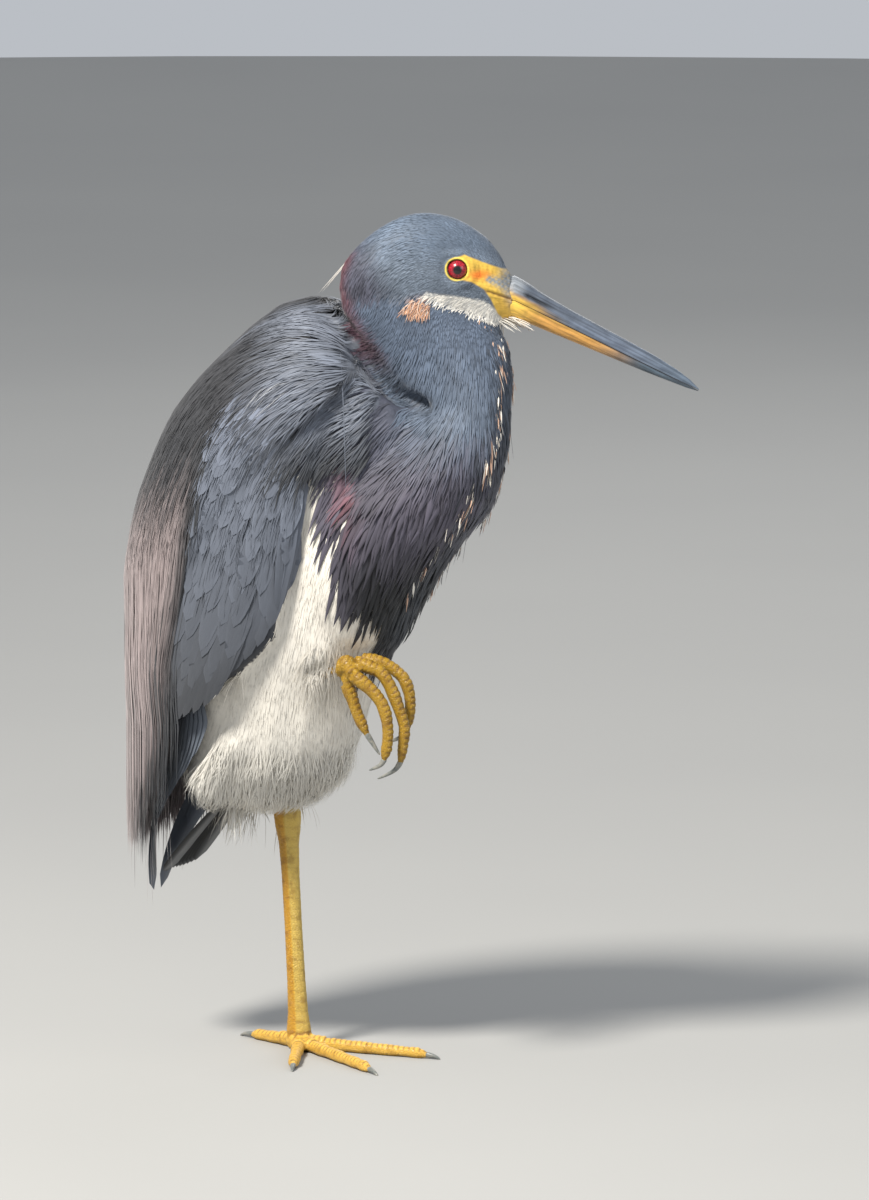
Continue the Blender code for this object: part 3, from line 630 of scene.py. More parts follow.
def settle(points, homes):
    """Gives the flank to the breast's plumes, the shoulder's or the white belly by its place."""
    reach, aside, height = to_body(points).T
    dark = reach > read(BREAST_EDGE, height)
    dark |= (np.abs(aside) < 11) & (height > 191) & (reach > 42)
    loose = np.isin(homes, ("trunk", "breast"))
    homes = np.where(loose, np.where(dark, "breast", "trunk"), homes)
    shoulder = loose & (height > 282 + 0.3 * (reach - 20)) & (reach < 50)
    return np.where(shoulder, "mantle", homes)


# ---------------------------------------------------------------- skin

SKIN_VOXEL = 1.6
SKIN_SWELL = 0.45
FOLD_DEPTH = 6.0
FOLD_SWELL = 0.8
# How far the skin lies inside the solids, under each kind of coat.
DEPTHS = {"wing": 0.9, "trunk": 1.6, "breast": 1.6, "neck": 1.4, "head": 1.0, "mantle": 0.9}
LID_REACH = 4.15
LID_RISE = 0.5
LID_WIDTH = 1.6
LID_FALL = 4.0
SOCKET_REACH = 10.0
BEHIND_EYE = 1.6  # how far the skin passes under the eyeball's surface


def nearest_part(points, parts):
    """Which part of the bird each place belongs to, by the nearest of the solids."""
    gaps = [Surface(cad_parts[node]).gaps(points) for node in parts]
    return np.array(list(parts.values()))[np.array(gaps).argmin(axis=0)]


def fill_sockets(piece):
    """Adds a ball at each eye, so that the skin closes behind it."""
    solids = [piece]
    for centre in EYES.values():
        bpy.ops.mesh.primitive_uv_sphere_add(
            segments=24, ring_count=12, radius=(EYE_RADIUS + 1.4) * MM, location=(centre * MM).tolist()
        )
        solids.append(bpy.context.object)
    join(solids)


def refine_face(piece):
    """Finer faces over the front of the head, where the lids and the bare lores are."""
    for around_eye in (16.0, 11.5):
        take(piece)
        bpy.ops.object.mode_set(mode="EDIT")
        bpy.ops.mesh.select_all(action="DESELECT")
        bpy.ops.mesh.select_mode(type="FACE")
        mesh = bmesh.from_edit_mesh(piece.data)
        middles = np.array([face.calc_center_median()[:] for face in mesh.faces]) / MM
        reach, _, height = to_face(middles).T
        before = (reach > -4) & (height > -26) & (height < 8)
        close = np.min([np.linalg.norm(middles - centre, axis=1) for centre in EYES.values()], axis=0)
        for face, chosen in zip(mesh.faces, before | (close < around_eye)):
            if chosen:
                face.select_set(True)
        bmesh.update_edit_mesh(piece.data)
        bpy.ops.mesh.subdivide(number_cuts=1, smoothness=0.6)
        bpy.ops.object.mode_set(mode="OBJECT")


def eye_outward(name):
    return HEAD_LEFT * (1 if name == "eye_left" else -1)


def shape_lids(points):
    """Sinks the skin round each eye into a socket with a raised lid."""
    for name, centre in EYES.items():
        outward = eye_outward(name)
        offset = points - centre
        height = offset @ outward
        flat = offset - height[:, None] * outward
        turn = np.arctan2(flat @ UPWARD, flat @ HEAD_FORWARD)
        corner = bell((turn - 2.45 + math.pi) % (2 * math.pi) - math.pi, 0.4)
        front = bell(turn + 0.35, 0.45)
        reach = np.linalg.norm(flat, axis=1) / (1 + 0.13 * corner + 0.10 * front)
        near = (height > -2.5) & (reach < SOCKET_REACH)
        ball = np.sqrt(np.maximum(EYE_RADIUS**2 - np.minimum(reach, EYE_RADIUS) ** 2, 0))
        rim = math.sqrt(EYE_RADIUS**2 - LID_REACH**2) + LID_RISE
        past = reach - LID_REACH
        dish = rim + 0.10 * past - 0.28 * ramp(past, 0.9, LID_WIDTH)
        outside = dish + (height - dish) * ramp(past, LID_WIDTH, LID_WIDTH + LID_FALL)
        hidden = np.minimum(height, ball - BEHIND_EYE)
        over = ramp(past, -0.45, 0)
        wanted = hidden * (1 - over) + outside * over
        points = points + np.where(near, wanted - height, 0)[:, None] * outward
    return points


def shape_lores(points, normals):
    """Hollows the bare lores a little, lines the gape, and narrows the face to the bill's root."""
    reach, aside, height = to_face(points).T
    side = np.stack((reach, height), axis=1)
    bare = ramp(inside(side, LORES_OUTLINE), -0.3, 1.2) * (reach > -3)
    hollow = 0.45 * bell(near_line(side, LORES_GROOVE), 2.6)
    gape = near_line(side, GAPE)
    line = 0.45 * bell(gape, 0.55) - 0.15 * bell(gape - 1.3, 0.6)
    wrinkle = 0.07 * np.sin(reach * 2.4 + height * 3.1) * np.sin(reach * 1.1 - height * 2.3)
    points = points - normals * ((hollow + line + wrinkle) * bare)[:, None]
    front = ramp(reach, 13, 23.5)
    middle = 338.0 - EYE_HEIGHT - 0.5 * (reach - 24.4)
    points = points - HEAD_LEFT * (front * 0.17 * aside)[:, None]
    return points - UPWARD * (front * 0.14 * (height - middle))[:, None]


def fold_neck(points, normals):
    """Presses the fold between the neck and the shoulders into the skin."""
    over, share = across_crease(points)
    trench = FOLD_DEPTH * bell(over + 1.2, 2.8)
    swell = FOLD_SWELL * bell(over - 5.0, 3.0)
    return points + normals * ((swell - trench) * share)[:, None]


def make_skin():
    skin = merged_copy(FLESH, "skin", SKIN_SWELL)
    fill_sockets(skin)
    remesh(skin, SKIN_VOXEL, 7)
    refine_face(skin)
    points = spots_of(skin)
    homes = settle(points, nearest_part(points, HOMES))
    face = to_face(points)
    bare = ramp(inside(face[:, ::2], LORES_OUTLINE), -4.0, 0.5) * (face[:, 0] > -6)
    depth = np.array([DEPTHS[home] for home in homes]) * (1 - 0.7 * bare)
    points = points - normals_of(skin) * (depth + SKIN_SWELL)[:, None]
    put_spots(skin, fold_neck(points, normals_of(skin)))
    smooth_points(skin, 2)
    put_spots(skin, shape_lores(shape_lids(spots_of(skin)), normals_of(skin)))
    smooth(skin)
    edit(skin, bpy.ops.uv.smart_project, angle_limit=math.radians(66), island_margin=0.002)
    skin.data.uv_layers.active.name = "OFBake"
    return skin, homes


def skin_paint(skin, homes):
    """The plumage's colours on the skin, darkened as painted shade under the feathers, and the bare face."""
    points = spots_of(skin)
    # painted shade under the feathers: the skin is darkened to 0.97 under the white belly and to 0.8
    # elsewhere
    colours = plumage(points, homes) * np.where(homes == "trunk", 0.97, 0.8)[:, None]
    reach, _, height = to_face(points).T
    side = np.stack((reach, height), axis=1)
    bare = ramp(inside(side, LORES_OUTLINE), -0.6, 0.2) * ((reach > -6) & (homes == "head"))
    spot = np.exp(-(((reach - 9.5) / 4.0) ** 2 + ((height + 2.6) / 2.0) ** 2))
    streak = bell(near_line(side, LORES_STREAK), read(STREAK_WIDTH, reach))
    wander = 0.7 + 0.4 * np.sin(reach * 2.3 + 1) * np.sin(height * 2.9)
    joint = ramp(reach + 0.6 * height, 9.5, 15.5) * ramp(reach, 15, 22)
    lores = layered(
        len(points), LORES,
        (LORES_ORANGE, np.clip(spot * 1.2, 0, 1)),
        (LORES_GREY, np.clip(streak * 1.5 * wander, 0, 1)),
        (JOINT_GREY, joint * (0.75 + 0.3 * (wander - 0.7))),
        (BILL_ORANGE, ramp(-height, 9, 17) * ramp(reach, 12, 20) * 0.25),
        (GAPE_BROWN, bell(near_line(side, GAPE), 0.5) * 0.75),
    )
    colours = blend(colours, lores, bare)
    from_eye = np.hypot(reach + 0.25, height - 0.2)
    for paint, place, width, strength in ((RING, 4.8, 0.34, 1.4), (LID_DARK, 4.2, 0.32, 1.2)):
        ring = bell(from_eye - place, width) * (homes == "head")
        colours = blend(colours, paint, np.clip(ring * strength, 0, 1))
    set_colour(skin, "plumage", colours)


# ---------------------------------------------------------------- feathers

PATCH = 0.003
BEND_LIMIT = 0.5  # a feather lets go where the surface turns by more than this cosine in one step
SEATED = -1.0  # the limit for feathers that never let go
DROOP = 0.3  # how much a loose feather bends down at each step
SECTION = ((1, -0.3), (0, 1), (-1, -0.3), (0, -0.7))  # a vane's cross-section, of its first 3 or all 4


def walk(surface, roots, lengths, steps, stray, limit=BEND_LIMIT, way=1):
    """Lays each feather along the lie from its root: its points on the surface and the normals there.

    Where the surface turns away under a feather, as at a hem, the feather goes on straight.
    """
    spot, normal, _ = surface.seat(roots)
    points, ups = [spot], [normal]
    step = (lengths / steps)[:, None]
    free = np.zeros((len(roots), 1), bool)
    held = np.zeros_like(spot)
    for _ in range(steps):
        heading = lie(spot) * way
        heading = unit(heading - normal * (heading * normal).sum(axis=1)[:, None])
        heading = unit(heading + np.cross(normal, heading) * stray[:, None])
        held = np.where(free, unit(held - UPWARD * DROOP), heading)
        ahead = spot + held * step
        seated, turned, _ = surface.seat(ahead)
        if limit > SEATED:
            free |= (turned * normal).sum(axis=1, keepdims=True) < limit
            free |= np.linalg.norm(seated - ahead, axis=1, keepdims=True) > 0.6 * step
        spot = np.where(free, ahead, seated)
        normal = np.where(free, normal, turned)
        points.append(spot)
        ups.append(normal)
    return np.stack(points, axis=1), np.stack(ups, axis=1)


def lifted(points, ups, sink, rise, power=1.3):
    """Raises the feathers off the surface, from their roots to their tips."""
    share = np.linspace(0, 1, points.shape[1]) ** power
    lift = -sink + (sink + rise)[:, None] * share
    return points + ups * lift[:, :, None]


def leaf(steps, root, widest, tip):
    """Half-widths down a feather, from a narrow root by its widest place to its tip's roundness."""
    share = np.linspace(0, 1, steps + 1)
    rising = root + (1 - root) * ramp(share, 0, widest)
    past = np.maximum((share - widest) / (1 - widest), 0)
    return rising * np.maximum(1 - past**tip, 0) ** (1 / max(tip, 1.0))


def feather_faces(rings, sides):
    """One feather's triangles, and their corners on its patch, as shares round it and along it."""
    last = rings - 2
    faces, corners = [], []
    for side in range(sides):
        here, after = 1 + side, 1 + (side + 1) % sides
        faces.append((0, after, here))
        corners.append(((side + 0.5, 0), (side + 1, 1), (side, 1)))
        for ring in range(1, last):
            a, b = here + (ring - 1) * sides, after + (ring - 1) * sides
            c, d = a + sides, b + sides
            faces += [(a, b, d), (a, d, c)]
            near, far = (side, ring), (side + 1, ring + 1)
            corners += [(near, (side + 1, ring), far), (near, far, (side, ring + 1))]
        step = (last - 1) * sides
        faces.append((here + step, after + step, 1 + last * sides))
        corners.append(((side, last), (side + 1, last), (side + 0.5, rings - 1)))
    return np.array(faces)[:, ::-1], np.array(corners, float)[:, ::-1] / (sides, rings - 1)


def feather_shading(ups, across, cover, lean, faces, sides, soften):
    """Corner normals: the upper side's lean to those of the coat under it by the share `soften`."""
    outer = unit(unit(ups + across * lean) * (1 - soften) + cover * soften)
    under = unit(across * lean - ups)
    above = np.repeat(np.arange(sides) < 2, len(faces) // sides)
    return np.where(above[None, :, None, None], outer[:, faces], under[:, faces])


def feathers(name, points, ups, widths, outline, thickness, colours, patches, seed, sides=3, soften=0.5,
             cup=0.0, tilt=0.0):
    """One mesh of closed feathers. Each has a point at both ends and a ring of `sides` at each step.

    `soften` is how far the shading of a feather leans to that of the coat under it, `cup` is the roundness
    of the body that it lies on, per millimetre, and `tilt` raises one edge over the other.
    """
    cover = ups
    rng = np.random.default_rng(seed)
    count, rings = points.shape[:2]
    along = unit(np.gradient(points, axis=1))
    across = unit(np.cross(along, ups))
    ups = np.cross(across, along)
    spread, heights = np.array(SECTION[:sides], float).T
    half = widths[:, None] * outline[None]
    thick = thickness * np.minimum(1.0, half / (0.35 * widths.max()) + 0.15)
    half, thick = half[:, 1:-1, None], thick[:, 1:-1, None]
    edges = tilt * half * spread - cup / 2 * (half * spread) ** 2
    middle, sideways, outward = points[:, 1:-1, None], across[:, 1:-1, None], ups[:, 1:-1, None]
    body = middle + sideways * (half * spread)[..., None] + outward * (thick * heights)[..., None]
    body = body + outward * edges[..., None]
    verts = np.concatenate((points[:, :1], body.reshape(count, -1, 3), points[:, -1:]), axis=1)
    faces, corners = feather_faces(rings, sides)
    starts = np.arange(count) * verts.shape[1]
    piece = mesh_from(
        name, verts.reshape(-1, 3), (faces[None] + starts[:, None, None]).reshape(-1, 3),
        (corners[None] * PATCH + patches[:, None, None]).reshape(-1, 2),
    )
    ring_of = np.concatenate(((0,), np.repeat(np.arange(1, rings - 1), sides), (rings - 1,)))
    share = np.linspace(0, 1, rings)[ring_of]
    aside = np.concatenate(((0,), np.tile(spread, rings - 2), (0,)))
    set_vector(piece, "vane", aside, share, rng.random((count, 1)))
    reach = np.linalg.norm(np.diff(points, axis=1), axis=2).sum(axis=1)[:, None]
    set_vector(piece, "grain", aside * widths[:, None], share * reach, 90 * rng.random((count, 1)))
    if colours.ndim == 2:
        colours = np.repeat(colours[:, None], rings, axis=1)
    set_colour(piece, "plumage", colours[:, ring_of].reshape(-1, 3))
    lean = aside[None, :, None] * 0.75
    frames = ups[:, ring_of], across[:, ring_of], cover[:, ring_of]
    shading = feather_shading(*frames, lean, faces, sides, soften)
    piece.data.normals_split_custom_set(shading.reshape(-1, 3))
    return piece


def mesh_from(name, verts, faces, corners):
    """A smooth mesh of triangles with its unwrap."""
    mesh = bpy.data.meshes.new(name)
    mesh.vertices.add(len(verts))
    mesh.vertices.foreach_set("co", (verts * MM).ravel())
    mesh.loops.add(faces.size)
    mesh.loops.foreach_set("vertex_index", faces.ravel().astype(np.int32))
    mesh.polygons.add(len(faces))
    mesh.polygons.foreach_set("loop_start", np.arange(0, faces.size, 3, dtype=np.int32))
    mesh.update(calc_edges=True)
    mesh.shade_smooth()
    layer = mesh.uv_layers.new(name="OFBake")
    layer.data.foreach_set("uv", corners.ravel())
    return linked(name, mesh)


class Coat:
    """What every coat piece is grown from: the skin, its parts and its unwrap."""

    def __init__(self, skin, vertex_homes):
        self.surface = Surface(skin)
        self.homes = vertex_homes[self.surface.faces[:, 0]]
        corners = values_of(skin.data.uv_layers["OFBake"].data, "uv", 2)
        self.uv = corners[self.surface.loops].mean(axis=1)

    def patches(self, roots):
        return self.uv[self.surface.seat(roots)[2]]


def grow(coat, name, weights, spacing, length, width, steps, seed, *, form=None, home=None, even=False,
         vary=0.18, stray=0.08, limit=BEND_LIMIT, sink=0.4, rise=0.8, power=1.3, after=None, tint=None,
         outline=None, thickness=0.12, sides=3, soften=0.6, cup=0.0):
    """One coat piece over the faces that the weights choose. `length` and `width` may be functions.

    It grows on the skin, or on the form round the folded wings, where `home` gives its colours.
    """
    surface = form or coat.surface
    roots, picked = surface.scatter(weights, spacing, seed, even)
    rng = np.random.default_rng(seed + 1)
    count = len(roots)
    lengths = length(roots) if callable(length) else np.full(count, float(length))
    widths = width(roots) if callable(width) else np.full(count, float(width))
    lengths = lengths * (1 + vary * rng.standard_normal(count)).clip(0.5, 1.6)
    widths = widths * (1 + 0.15 * rng.standard_normal(count)).clip(0.6, 1.5)
    points, ups = walk(surface, roots, lengths, steps, stray * rng.standard_normal(count), limit)
    points = lifted(points, ups, sink, rise * (0.45 + 0.9 * rng.random(count)), power)
    if after:
        points = after(points, ups, rng)
    homes = np.full(count, home) if home else coat.homes[picked]
    colours = plumage(points[:, int(round(0.6 * steps))], homes)
    if tint:
        colours = tint(colours, roots, points, rng)
    if outline is None:
        outline = leaf(steps, 0.35, 0.4, 1.6)
    patches = coat.patches(roots) if form else coat.uv[picked]
    return feathers(name, points, ups, widths, outline, thickness, colours, patches, seed + 2, sides,
                    soften, cup)


# ---------------------------------------------------------------- materials


def wire(tree, socket, value):
    """Links a socket to another, or gives it a value or a paint."""
    if isinstance(value, bpy.types.NodeSocket):
        tree.links.new(value, socket)
    else:
        socket.default_value = (*value, 1.0) if isinstance(value, np.ndarray) else value


class Nodes:
    """Adds nodes to a tree, from left to right."""

    def __init__(self, tree, shader=None):
        self.tree = tree
        self.shader = shader
        self.column = 0

    def add(self, kind, inputs=(), **settings):
        node = self.tree.nodes.new("ShaderNode" + kind)
        self.column += 1
        node.location = (180 * self.column - 1800, -120 * (self.column % 4))
        for name, value in settings.items():
            setattr(node, name, value)
        for key, value in dict(inputs).items():
            wire(self.tree, node.inputs[key], value)
        return node

    def math(self, operation, first, second=0.0):
        return self.add("Math", {0: first, 1: second}, operation=operation).outputs[0]

    def between(self, value, low, high, start=0.0, end=1.0):
        inputs = {"Value": value, "From Min": low, "From Max": high, "To Min": start, "To Max": end}
        return self.add("MapRange", inputs, interpolation_type="SMOOTHSTEP").outputs[0]

    def mix(self, share, first, second):
        return self.add("Mix", {0: share, 6: first, 7: second}, data_type="RGBA").outputs[2]

    def times(self, vector, factors):
        return self.add("VectorMath", {0: vector, 1: factors}, operation="MULTIPLY").outputs[0]

    def scaled(self, vector, factor):
        return self.add("VectorMath", {0: vector, "Scale": factor}, operation="SCALE").outputs[0]

    def attribute(self, name, output="Color"):
        return self.add("Attribute", attribute_name=name).outputs[output]

    def place(self):
        return self.add("TexCoord").outputs["Object"]

    def group(self, tree, **inputs):
        named = {key.replace("_", " "): value for key, value in inputs.items()}
        return self.add("Group", named, node_tree=tree).outputs

    def finish(self, base, relief=None, depth=0.0):
        """Gives the shader its colour, and a relief whose depth is in millimetres."""
        wire(self.tree, self.shader.inputs["Base Color"], base)
        if relief is not None:
            raised = self.add("Bump", {"Height": relief, "Distance": depth * MM, "Strength": 1.0})
            wire(self.tree, self.shader.inputs["Normal"], raised.outputs[0])


def new_group(name, inputs, outputs):
    """A shader node group with named sockets, a vector where the value is one and a number elsewhere."""
    tree = bpy.data.node_groups.new(name, "ShaderNodeTree")
    for label, value in inputs.items():
        kind = "NodeSocketVector" if isinstance(value, tuple) else "NodeSocketFloat"
        tree.interface.new_socket(label, in_out="INPUT", socket_type=kind).default_value = value
    for label in outputs:
        tree.interface.new_socket(label, in_out="OUTPUT", socket_type="NodeSocketFloat")
    into, out = tree.nodes.new("NodeGroupInput"), tree.nodes.new("NodeGroupOutput")
    return Nodes(tree), into.outputs, out.inputs


def make_barb_group():
    """Light and shade down one feather: its barbs' grain, painted shade at its root, a pale edge or a painted
    dark one, and its own tone.
    """
    nodes, into, out = new_group(
        "barbs",
        {
            "Vane": (0, 0, 0), "Grain": (0, 0, 0), "Fineness": 3.0, "Streak": 0.25, "Root shade": 0.4,
            "Tone": 0.2, "Edge": 0.0,
        },
        ("Shade", "Relief"),
    )
    aside, along, tone = nodes.add("SeparateXYZ", {0: into["Vane"]}).outputs
    stretched = nodes.times(into["Grain"], (1.0, 0.09, 1.0))
    inputs = {"Vector": stretched, "Scale": into["Fineness"], "Detail": 3.0}
    barbs = nodes.add("TexNoise", inputs).outputs["Fac"]
    grain = nodes.math("MULTIPLY", nodes.math("SUBTRACT", barbs, 0.5), into["Streak"])
    grain = nodes.math("MULTIPLY", grain, 2.0)
    root = nodes.math("MULTIPLY", nodes.between(along, 0.0, 0.55, 1.0, 0.0), into["Root shade"])
    tone = nodes.math("MULTIPLY", nodes.math("SUBTRACT", tone, 0.5), into["Tone"])
    aside = nodes.math("ABSOLUTE", aside)
    edge = nodes.math("MULTIPLY", nodes.between(aside, 0.55, 1.0), into["Edge"])
    shade = nodes.math("ADD", nodes.math("ADD", grain, tone), nodes.math("SUBTRACT", edge, root))
    wire(nodes.tree, out["Shade"], nodes.math("ADD", shade, 1.0))
    wire(nodes.tree, out["Relief"], barbs)
    return nodes.tree


def make_mottle_group():
    """Soft irregular blotches over a piece, by its place."""
    inputs = {"Scale": 300.0, "Low": 0.4, "High": 0.7}
    nodes, into, out = new_group("mottle", inputs, ("Mask", "Relief"))
    inputs = {"Vector": nodes.place(), "Scale": into["Scale"], "Detail": 4.0}
    blotch = nodes.add("TexNoise", inputs).outputs["Fac"]
    wire(nodes.tree, out["Mask"], nodes.between(blotch, into["Low"], into["High"]))
    wire(nodes.tree, out["Relief"], blotch)
    return nodes.tree


def new_material(name, roughness, specular=0.5, **sockets):
    material = bpy.data.materials.new(name)
    material.use_nodes = True
    shader = material.node_tree.nodes["Principled BSDF"]
    sockets.update(Roughness=roughness, Specular_IOR_Level=specular)
    for label, value in sockets.items():
        shader.inputs[label.replace("_", " ")].default_value = value
    return material, Nodes(material.node_tree, shader)


# Each kind of feather: roughness, sheen, fineness of the barbs, their streaks, root's shade, tone and edge.
FEATHER_LOOKS = {
    "slate_feathers": (0.6, 0.2, 3.2, 0.22, 0.22, 0.22, 0.04),
    # the plum feathers' negative edge paints shade along each plume's sides, for the dark slits between them
    "plum_feathers": (0.6, 0.2, 2.6, 0.28, 0.55, 0.34, -0.55),
    "white_feathers": (0.7, 0.1, 2.6, 0.06, 0.03, 0.06, 0.0),
    "coverts": (0.55, 0.2, 2.4, 0.2, 0.22, 0.2, 0.12),
    "back_plumes": (0.55, 0.25, 2.4, 0.3, 0.35, 0.50, 0.05),
    "flight_feathers": (0.5, 0.15, 2.2, 0.2, 0.2, 0.2, 0.06),
}


def feather_material(name, barbs, roughness, sheen, fineness, streak, root, tone, edge):
    material, nodes = new_material(name, roughness, 0.3, Sheen_Weight=sheen, Sheen_Roughness=0.5)
    made = nodes.group(
        barbs, Vane=nodes.attribute("vane", "Vector"), Grain=nodes.attribute("grain", "Vector"),
        Fineness=fineness, Streak=streak, Root_shade=root, Tone=tone, Edge=edge,
    )
    nodes.finish(nodes.scaled(nodes.attribute("plumage"), made["Shade"]), made["Relief"], 0.06)
    return material


def skin_material(mottle):
    material, nodes = new_material("skin", 0.6, 0.35)
    base = nodes.attribute("plumage")
    blotch = nodes.group(mottle, Scale=420.0, Low=0.35, High=0.75)
    stained = nodes.mix(blotch["Mask"], base, nodes.scaled(base, 0.72))
    nodes.finish(stained, blotch["Relief"], 0.25)
    return material


def leg_material(mottle):
    material, nodes = new_material("leg_skin", 0.42)
    base = nodes.attribute("hide")
    blotch = nodes.group(mottle, Scale=260.0, Low=0.48, High=0.7)
    fine = nodes.group(mottle, Scale=1600.0, Low=0.3, High=0.7)
    stained = nodes.mix(blotch["Mask"], base, nodes.times(base, (0.72, 0.66, 0.6)))
    inputs = {"Vector": nodes.place(), "Scale": 900.0}
    scales = nodes.add("TexVoronoi", inputs, feature="DISTANCE_TO_EDGE").outputs["Distance"]
    grain = nodes.math("MULTIPLY", fine["Relief"], 0.5)
    nodes.finish(stained, nodes.math("ADD", nodes.between(scales, 0.0, 0.14), grain), 0.14)
    return material


def bill_material(name, mottle):
    material, nodes = new_material(name, 0.36, Coat_Weight=0.12, Coat_Roughness=0.25)
    base = nodes.attribute("horn")
    blotch = nodes.group(mottle, Scale=240.0, Low=0.42, High=0.68)
    fine = nodes.group(mottle, Scale=1500.0, Low=0.35, High=0.75)
    share = nodes.math("MULTIPLY", blotch["Mask"], 0.7)
    stained = nodes.mix(share, base, nodes.times(base, (0.76, 0.76, 0.78)))
    nodes.finish(stained, fine["Relief"], 0.08)
    return material


def claw_material(mottle):
    material, nodes = new_material("claw_horn", 0.34)
    blotch = nodes.group(mottle, Scale=500.0, Low=0.35, High=0.7)
    stained = nodes.mix(blotch["Mask"], CLAW_GREY, CLAW_PALE)
    nodes.finish(stained, blotch["Relief"], 0.05)
    return material


def eye_material():
    """A red iris with a dark pupil and rim, under a wet clear front."""
    material, nodes = new_material("iris", 0.25, Coat_Weight=0.45, Coat_Roughness=0.02)
    reach = nodes.add("SeparateXYZ", {0: nodes.attribute("round", "Vector")}).outputs[0]
    inputs = {"Vector": nodes.attribute("rays", "Vector"), "Scale": 2.2, "Detail": 3.0}
    bright = nodes.between(nodes.add("TexNoise", inputs).outputs["Fac"], 0.35, 0.7)
    iris = nodes.mix(bright, IRIS_RED, IRIS_BRIGHT)
    iris = nodes.mix(nodes.between(reach, 1.75, 2.5), IRIS_INNER, iris)
    iris = nodes.mix(nodes.between(reach, 3.3, 4.3), iris, IRIS_RIM)
    nodes.finish(nodes.mix(nodes.between(reach, 1.6, 1.95), PUPIL, iris))
    return material


# ---------------------------------------------------------------- bill, eyes and claws

# Share of the bill's length, height over its axis, depth under it, half-width.
BILL = (
    (0.0, 8.9, 7.9, 6.6), (0.10, 7.5, 6.9, 5.6), (0.25, 6.5, 6.0, 4.8), (0.42, 5.9, 4.9, 4.1),
    (0.58, 5.5, 4.0, 3.5), (0.74, 4.8, 3.0, 2.8), (0.86, 3.7, 2.0, 2.1), (0.94, 2.3, 1.3, 1.4),
    (1.0, 0.35, 0.35, 0.35),
)
BILL_GREY = linear(96, 106, 122)
BILL_SLATE = linear(66, 72, 81)
BILL_ORANGE = linear(200, 148, 76)
BILL_TIP = linear(79, 93, 106)
BILL_OLIVE = linear(149, 123, 60)
BILL_SEAM = linear(60, 52, 40)
BILL_LIP = linear(46, 42, 40)
NOSTRIL_SHADE = linear(26, 24, 24)
JOINT_GREY = 0.5 * (LORES_GREY + BILL_GREY)
BILL_GAP = 0.12  # each half's distance from the bill's axis
ROOT_RINGS = 12  # the rings over which the bill's root leans to the face


def swept(name, rings):
    """A closed solid whose sides run through the rings."""
    size = len(rings[0])
    last = (len(rings) - 1) * size
    around = [(i, (i + 1) % size) for i in range(size)]
    sides = [(a + i, a + j, a + size + j, a + size + i) for a in range(0, last, size) for i, j in around]
    mesh = bpy.data.meshes.new(name)
    ends = [tuple(range(size)), tuple(range(last, last + size))]
    mesh.from_pydata((np.concatenate(rings) * MM).tolist(), [], ends + sides)
    piece = linked(name, mesh)
    edit(piece, bpy.ops.mesh.normals_make_consistent, inside=False)
    return piece


def bill_grain(along, over, aside):
    """Long streaks of light and dark down the bill, about -1 to 1."""
    rng = np.random.default_rng(61)
    waves = np.zeros(len(along))
    for _ in range(9):
        rate = rng.normal(size=3) * (0.2, 2.8, 2.8)
        phase = rng.random() * FULL_TURN
        waves += np.sin(along * rate[0] + over * rate[1] + np.abs(aside) * rate[2] + phase)
    return np.clip(waves / 3.0, -1, 1)


def bill_rings(upper):
    """Half-round rings over a flat that meets the other half, the first of them square to the face."""
    hand = 1 if upper else -1
    arc = np.linspace(0, math.pi, 60)
    flat = np.linspace(-1, 1, 14)[1:-1]
    stretches = np.linspace(0, 0.3, 44)[:-1], np.linspace(0.3, 0.93, 40)[:-1], np.linspace(0.93, 1.0, 9)
    rings = []
    for share in np.concatenate(stretches):
        depth, half = read(BILL, share, 1 if upper else 2), read(BILL, share, 3)
        across = np.concatenate((np.cos(arc) * half, flat * half))
        over = np.concatenate((np.sin(arc) ** 0.9 * depth, 0 * flat)) * hand + BILL_GAP * hand
        centre = BILL_ROOT + BILL_ALONG * (BILL_LENGTH * share + 0.35)
        rings.append(centre + HEAD_LEFT * across[:, None] + BILL_UP * over[:, None])
    lean = (rings[0] - rings[0][0]) @ HEAD_FORWARD
    rings[0] = rings[0] - BILL_ALONG * (lean / (BILL_ALONG @ HEAD_FORWARD))[:, None]
    for k in range(1, ROOT_RINGS):
        share = 1 - k / ROOT_RINGS
        rings[k] = rings[k] * (1 - share) + (rings[0] + BILL_ALONG * 0.62 * k) * share
    middle = BILL_ROOT + BILL_UP * BILL_GAP * hand
    rings.insert(0, middle + (rings[0] - middle) * 0.9 - HEAD_FORWARD * 3.5)
    return rings


def bill_ends(share, over):
    """The layers that both halves have: the dark tip and the dark line between them."""
    return (BILL_TIP, ramp(share, 0.6, 0.95) * 0.7), (BILL_LIP, bell(over, 0.3) * 0.7)


def upper_paint(along, over, grain, slot, furrow):
    share = np.clip(along / BILL_LENGTH, 0, 1)
    warm = ramp(-over - 0.8 * grain - 9.0 * share, -4.4, -1.6)
    return layered(
        len(along), BILL_GREY,
        (BILL_SLATE, ramp(over, 3.4, 6.0) * 0.7),
        (BILL_OLIVE, warm * ramp(-share, -0.45, -0.04) * 0.5),
        (BILL_ORANGE, warm * ramp(-share, -0.3, -0.02) * 0.8),
        # painted shade: near-black in the nostril's slit, and half slate along the furrow that runs on from
        # it
        (NOSTRIL_SHADE, np.clip(1.5 * slot, 0, 0.95)),
        (BILL_SLATE, furrow * 0.5),
        (BILL_SEAM, bell(over - 2.0 + 0.03 * along, 0.3) * ramp(-share, -0.34, -0.2) * 0.7),
        *bill_ends(share, over),
        (LORES, ramp(-along - 0.9 * grain, -17, -1) * ramp(-over, -2.6, -1.2) * 0.85),
        (JOINT_GREY, ramp(-along - 0.7 * grain, -4.5, 0.5) * ramp(over, 1.5, 3.5) * 0.8),
    )


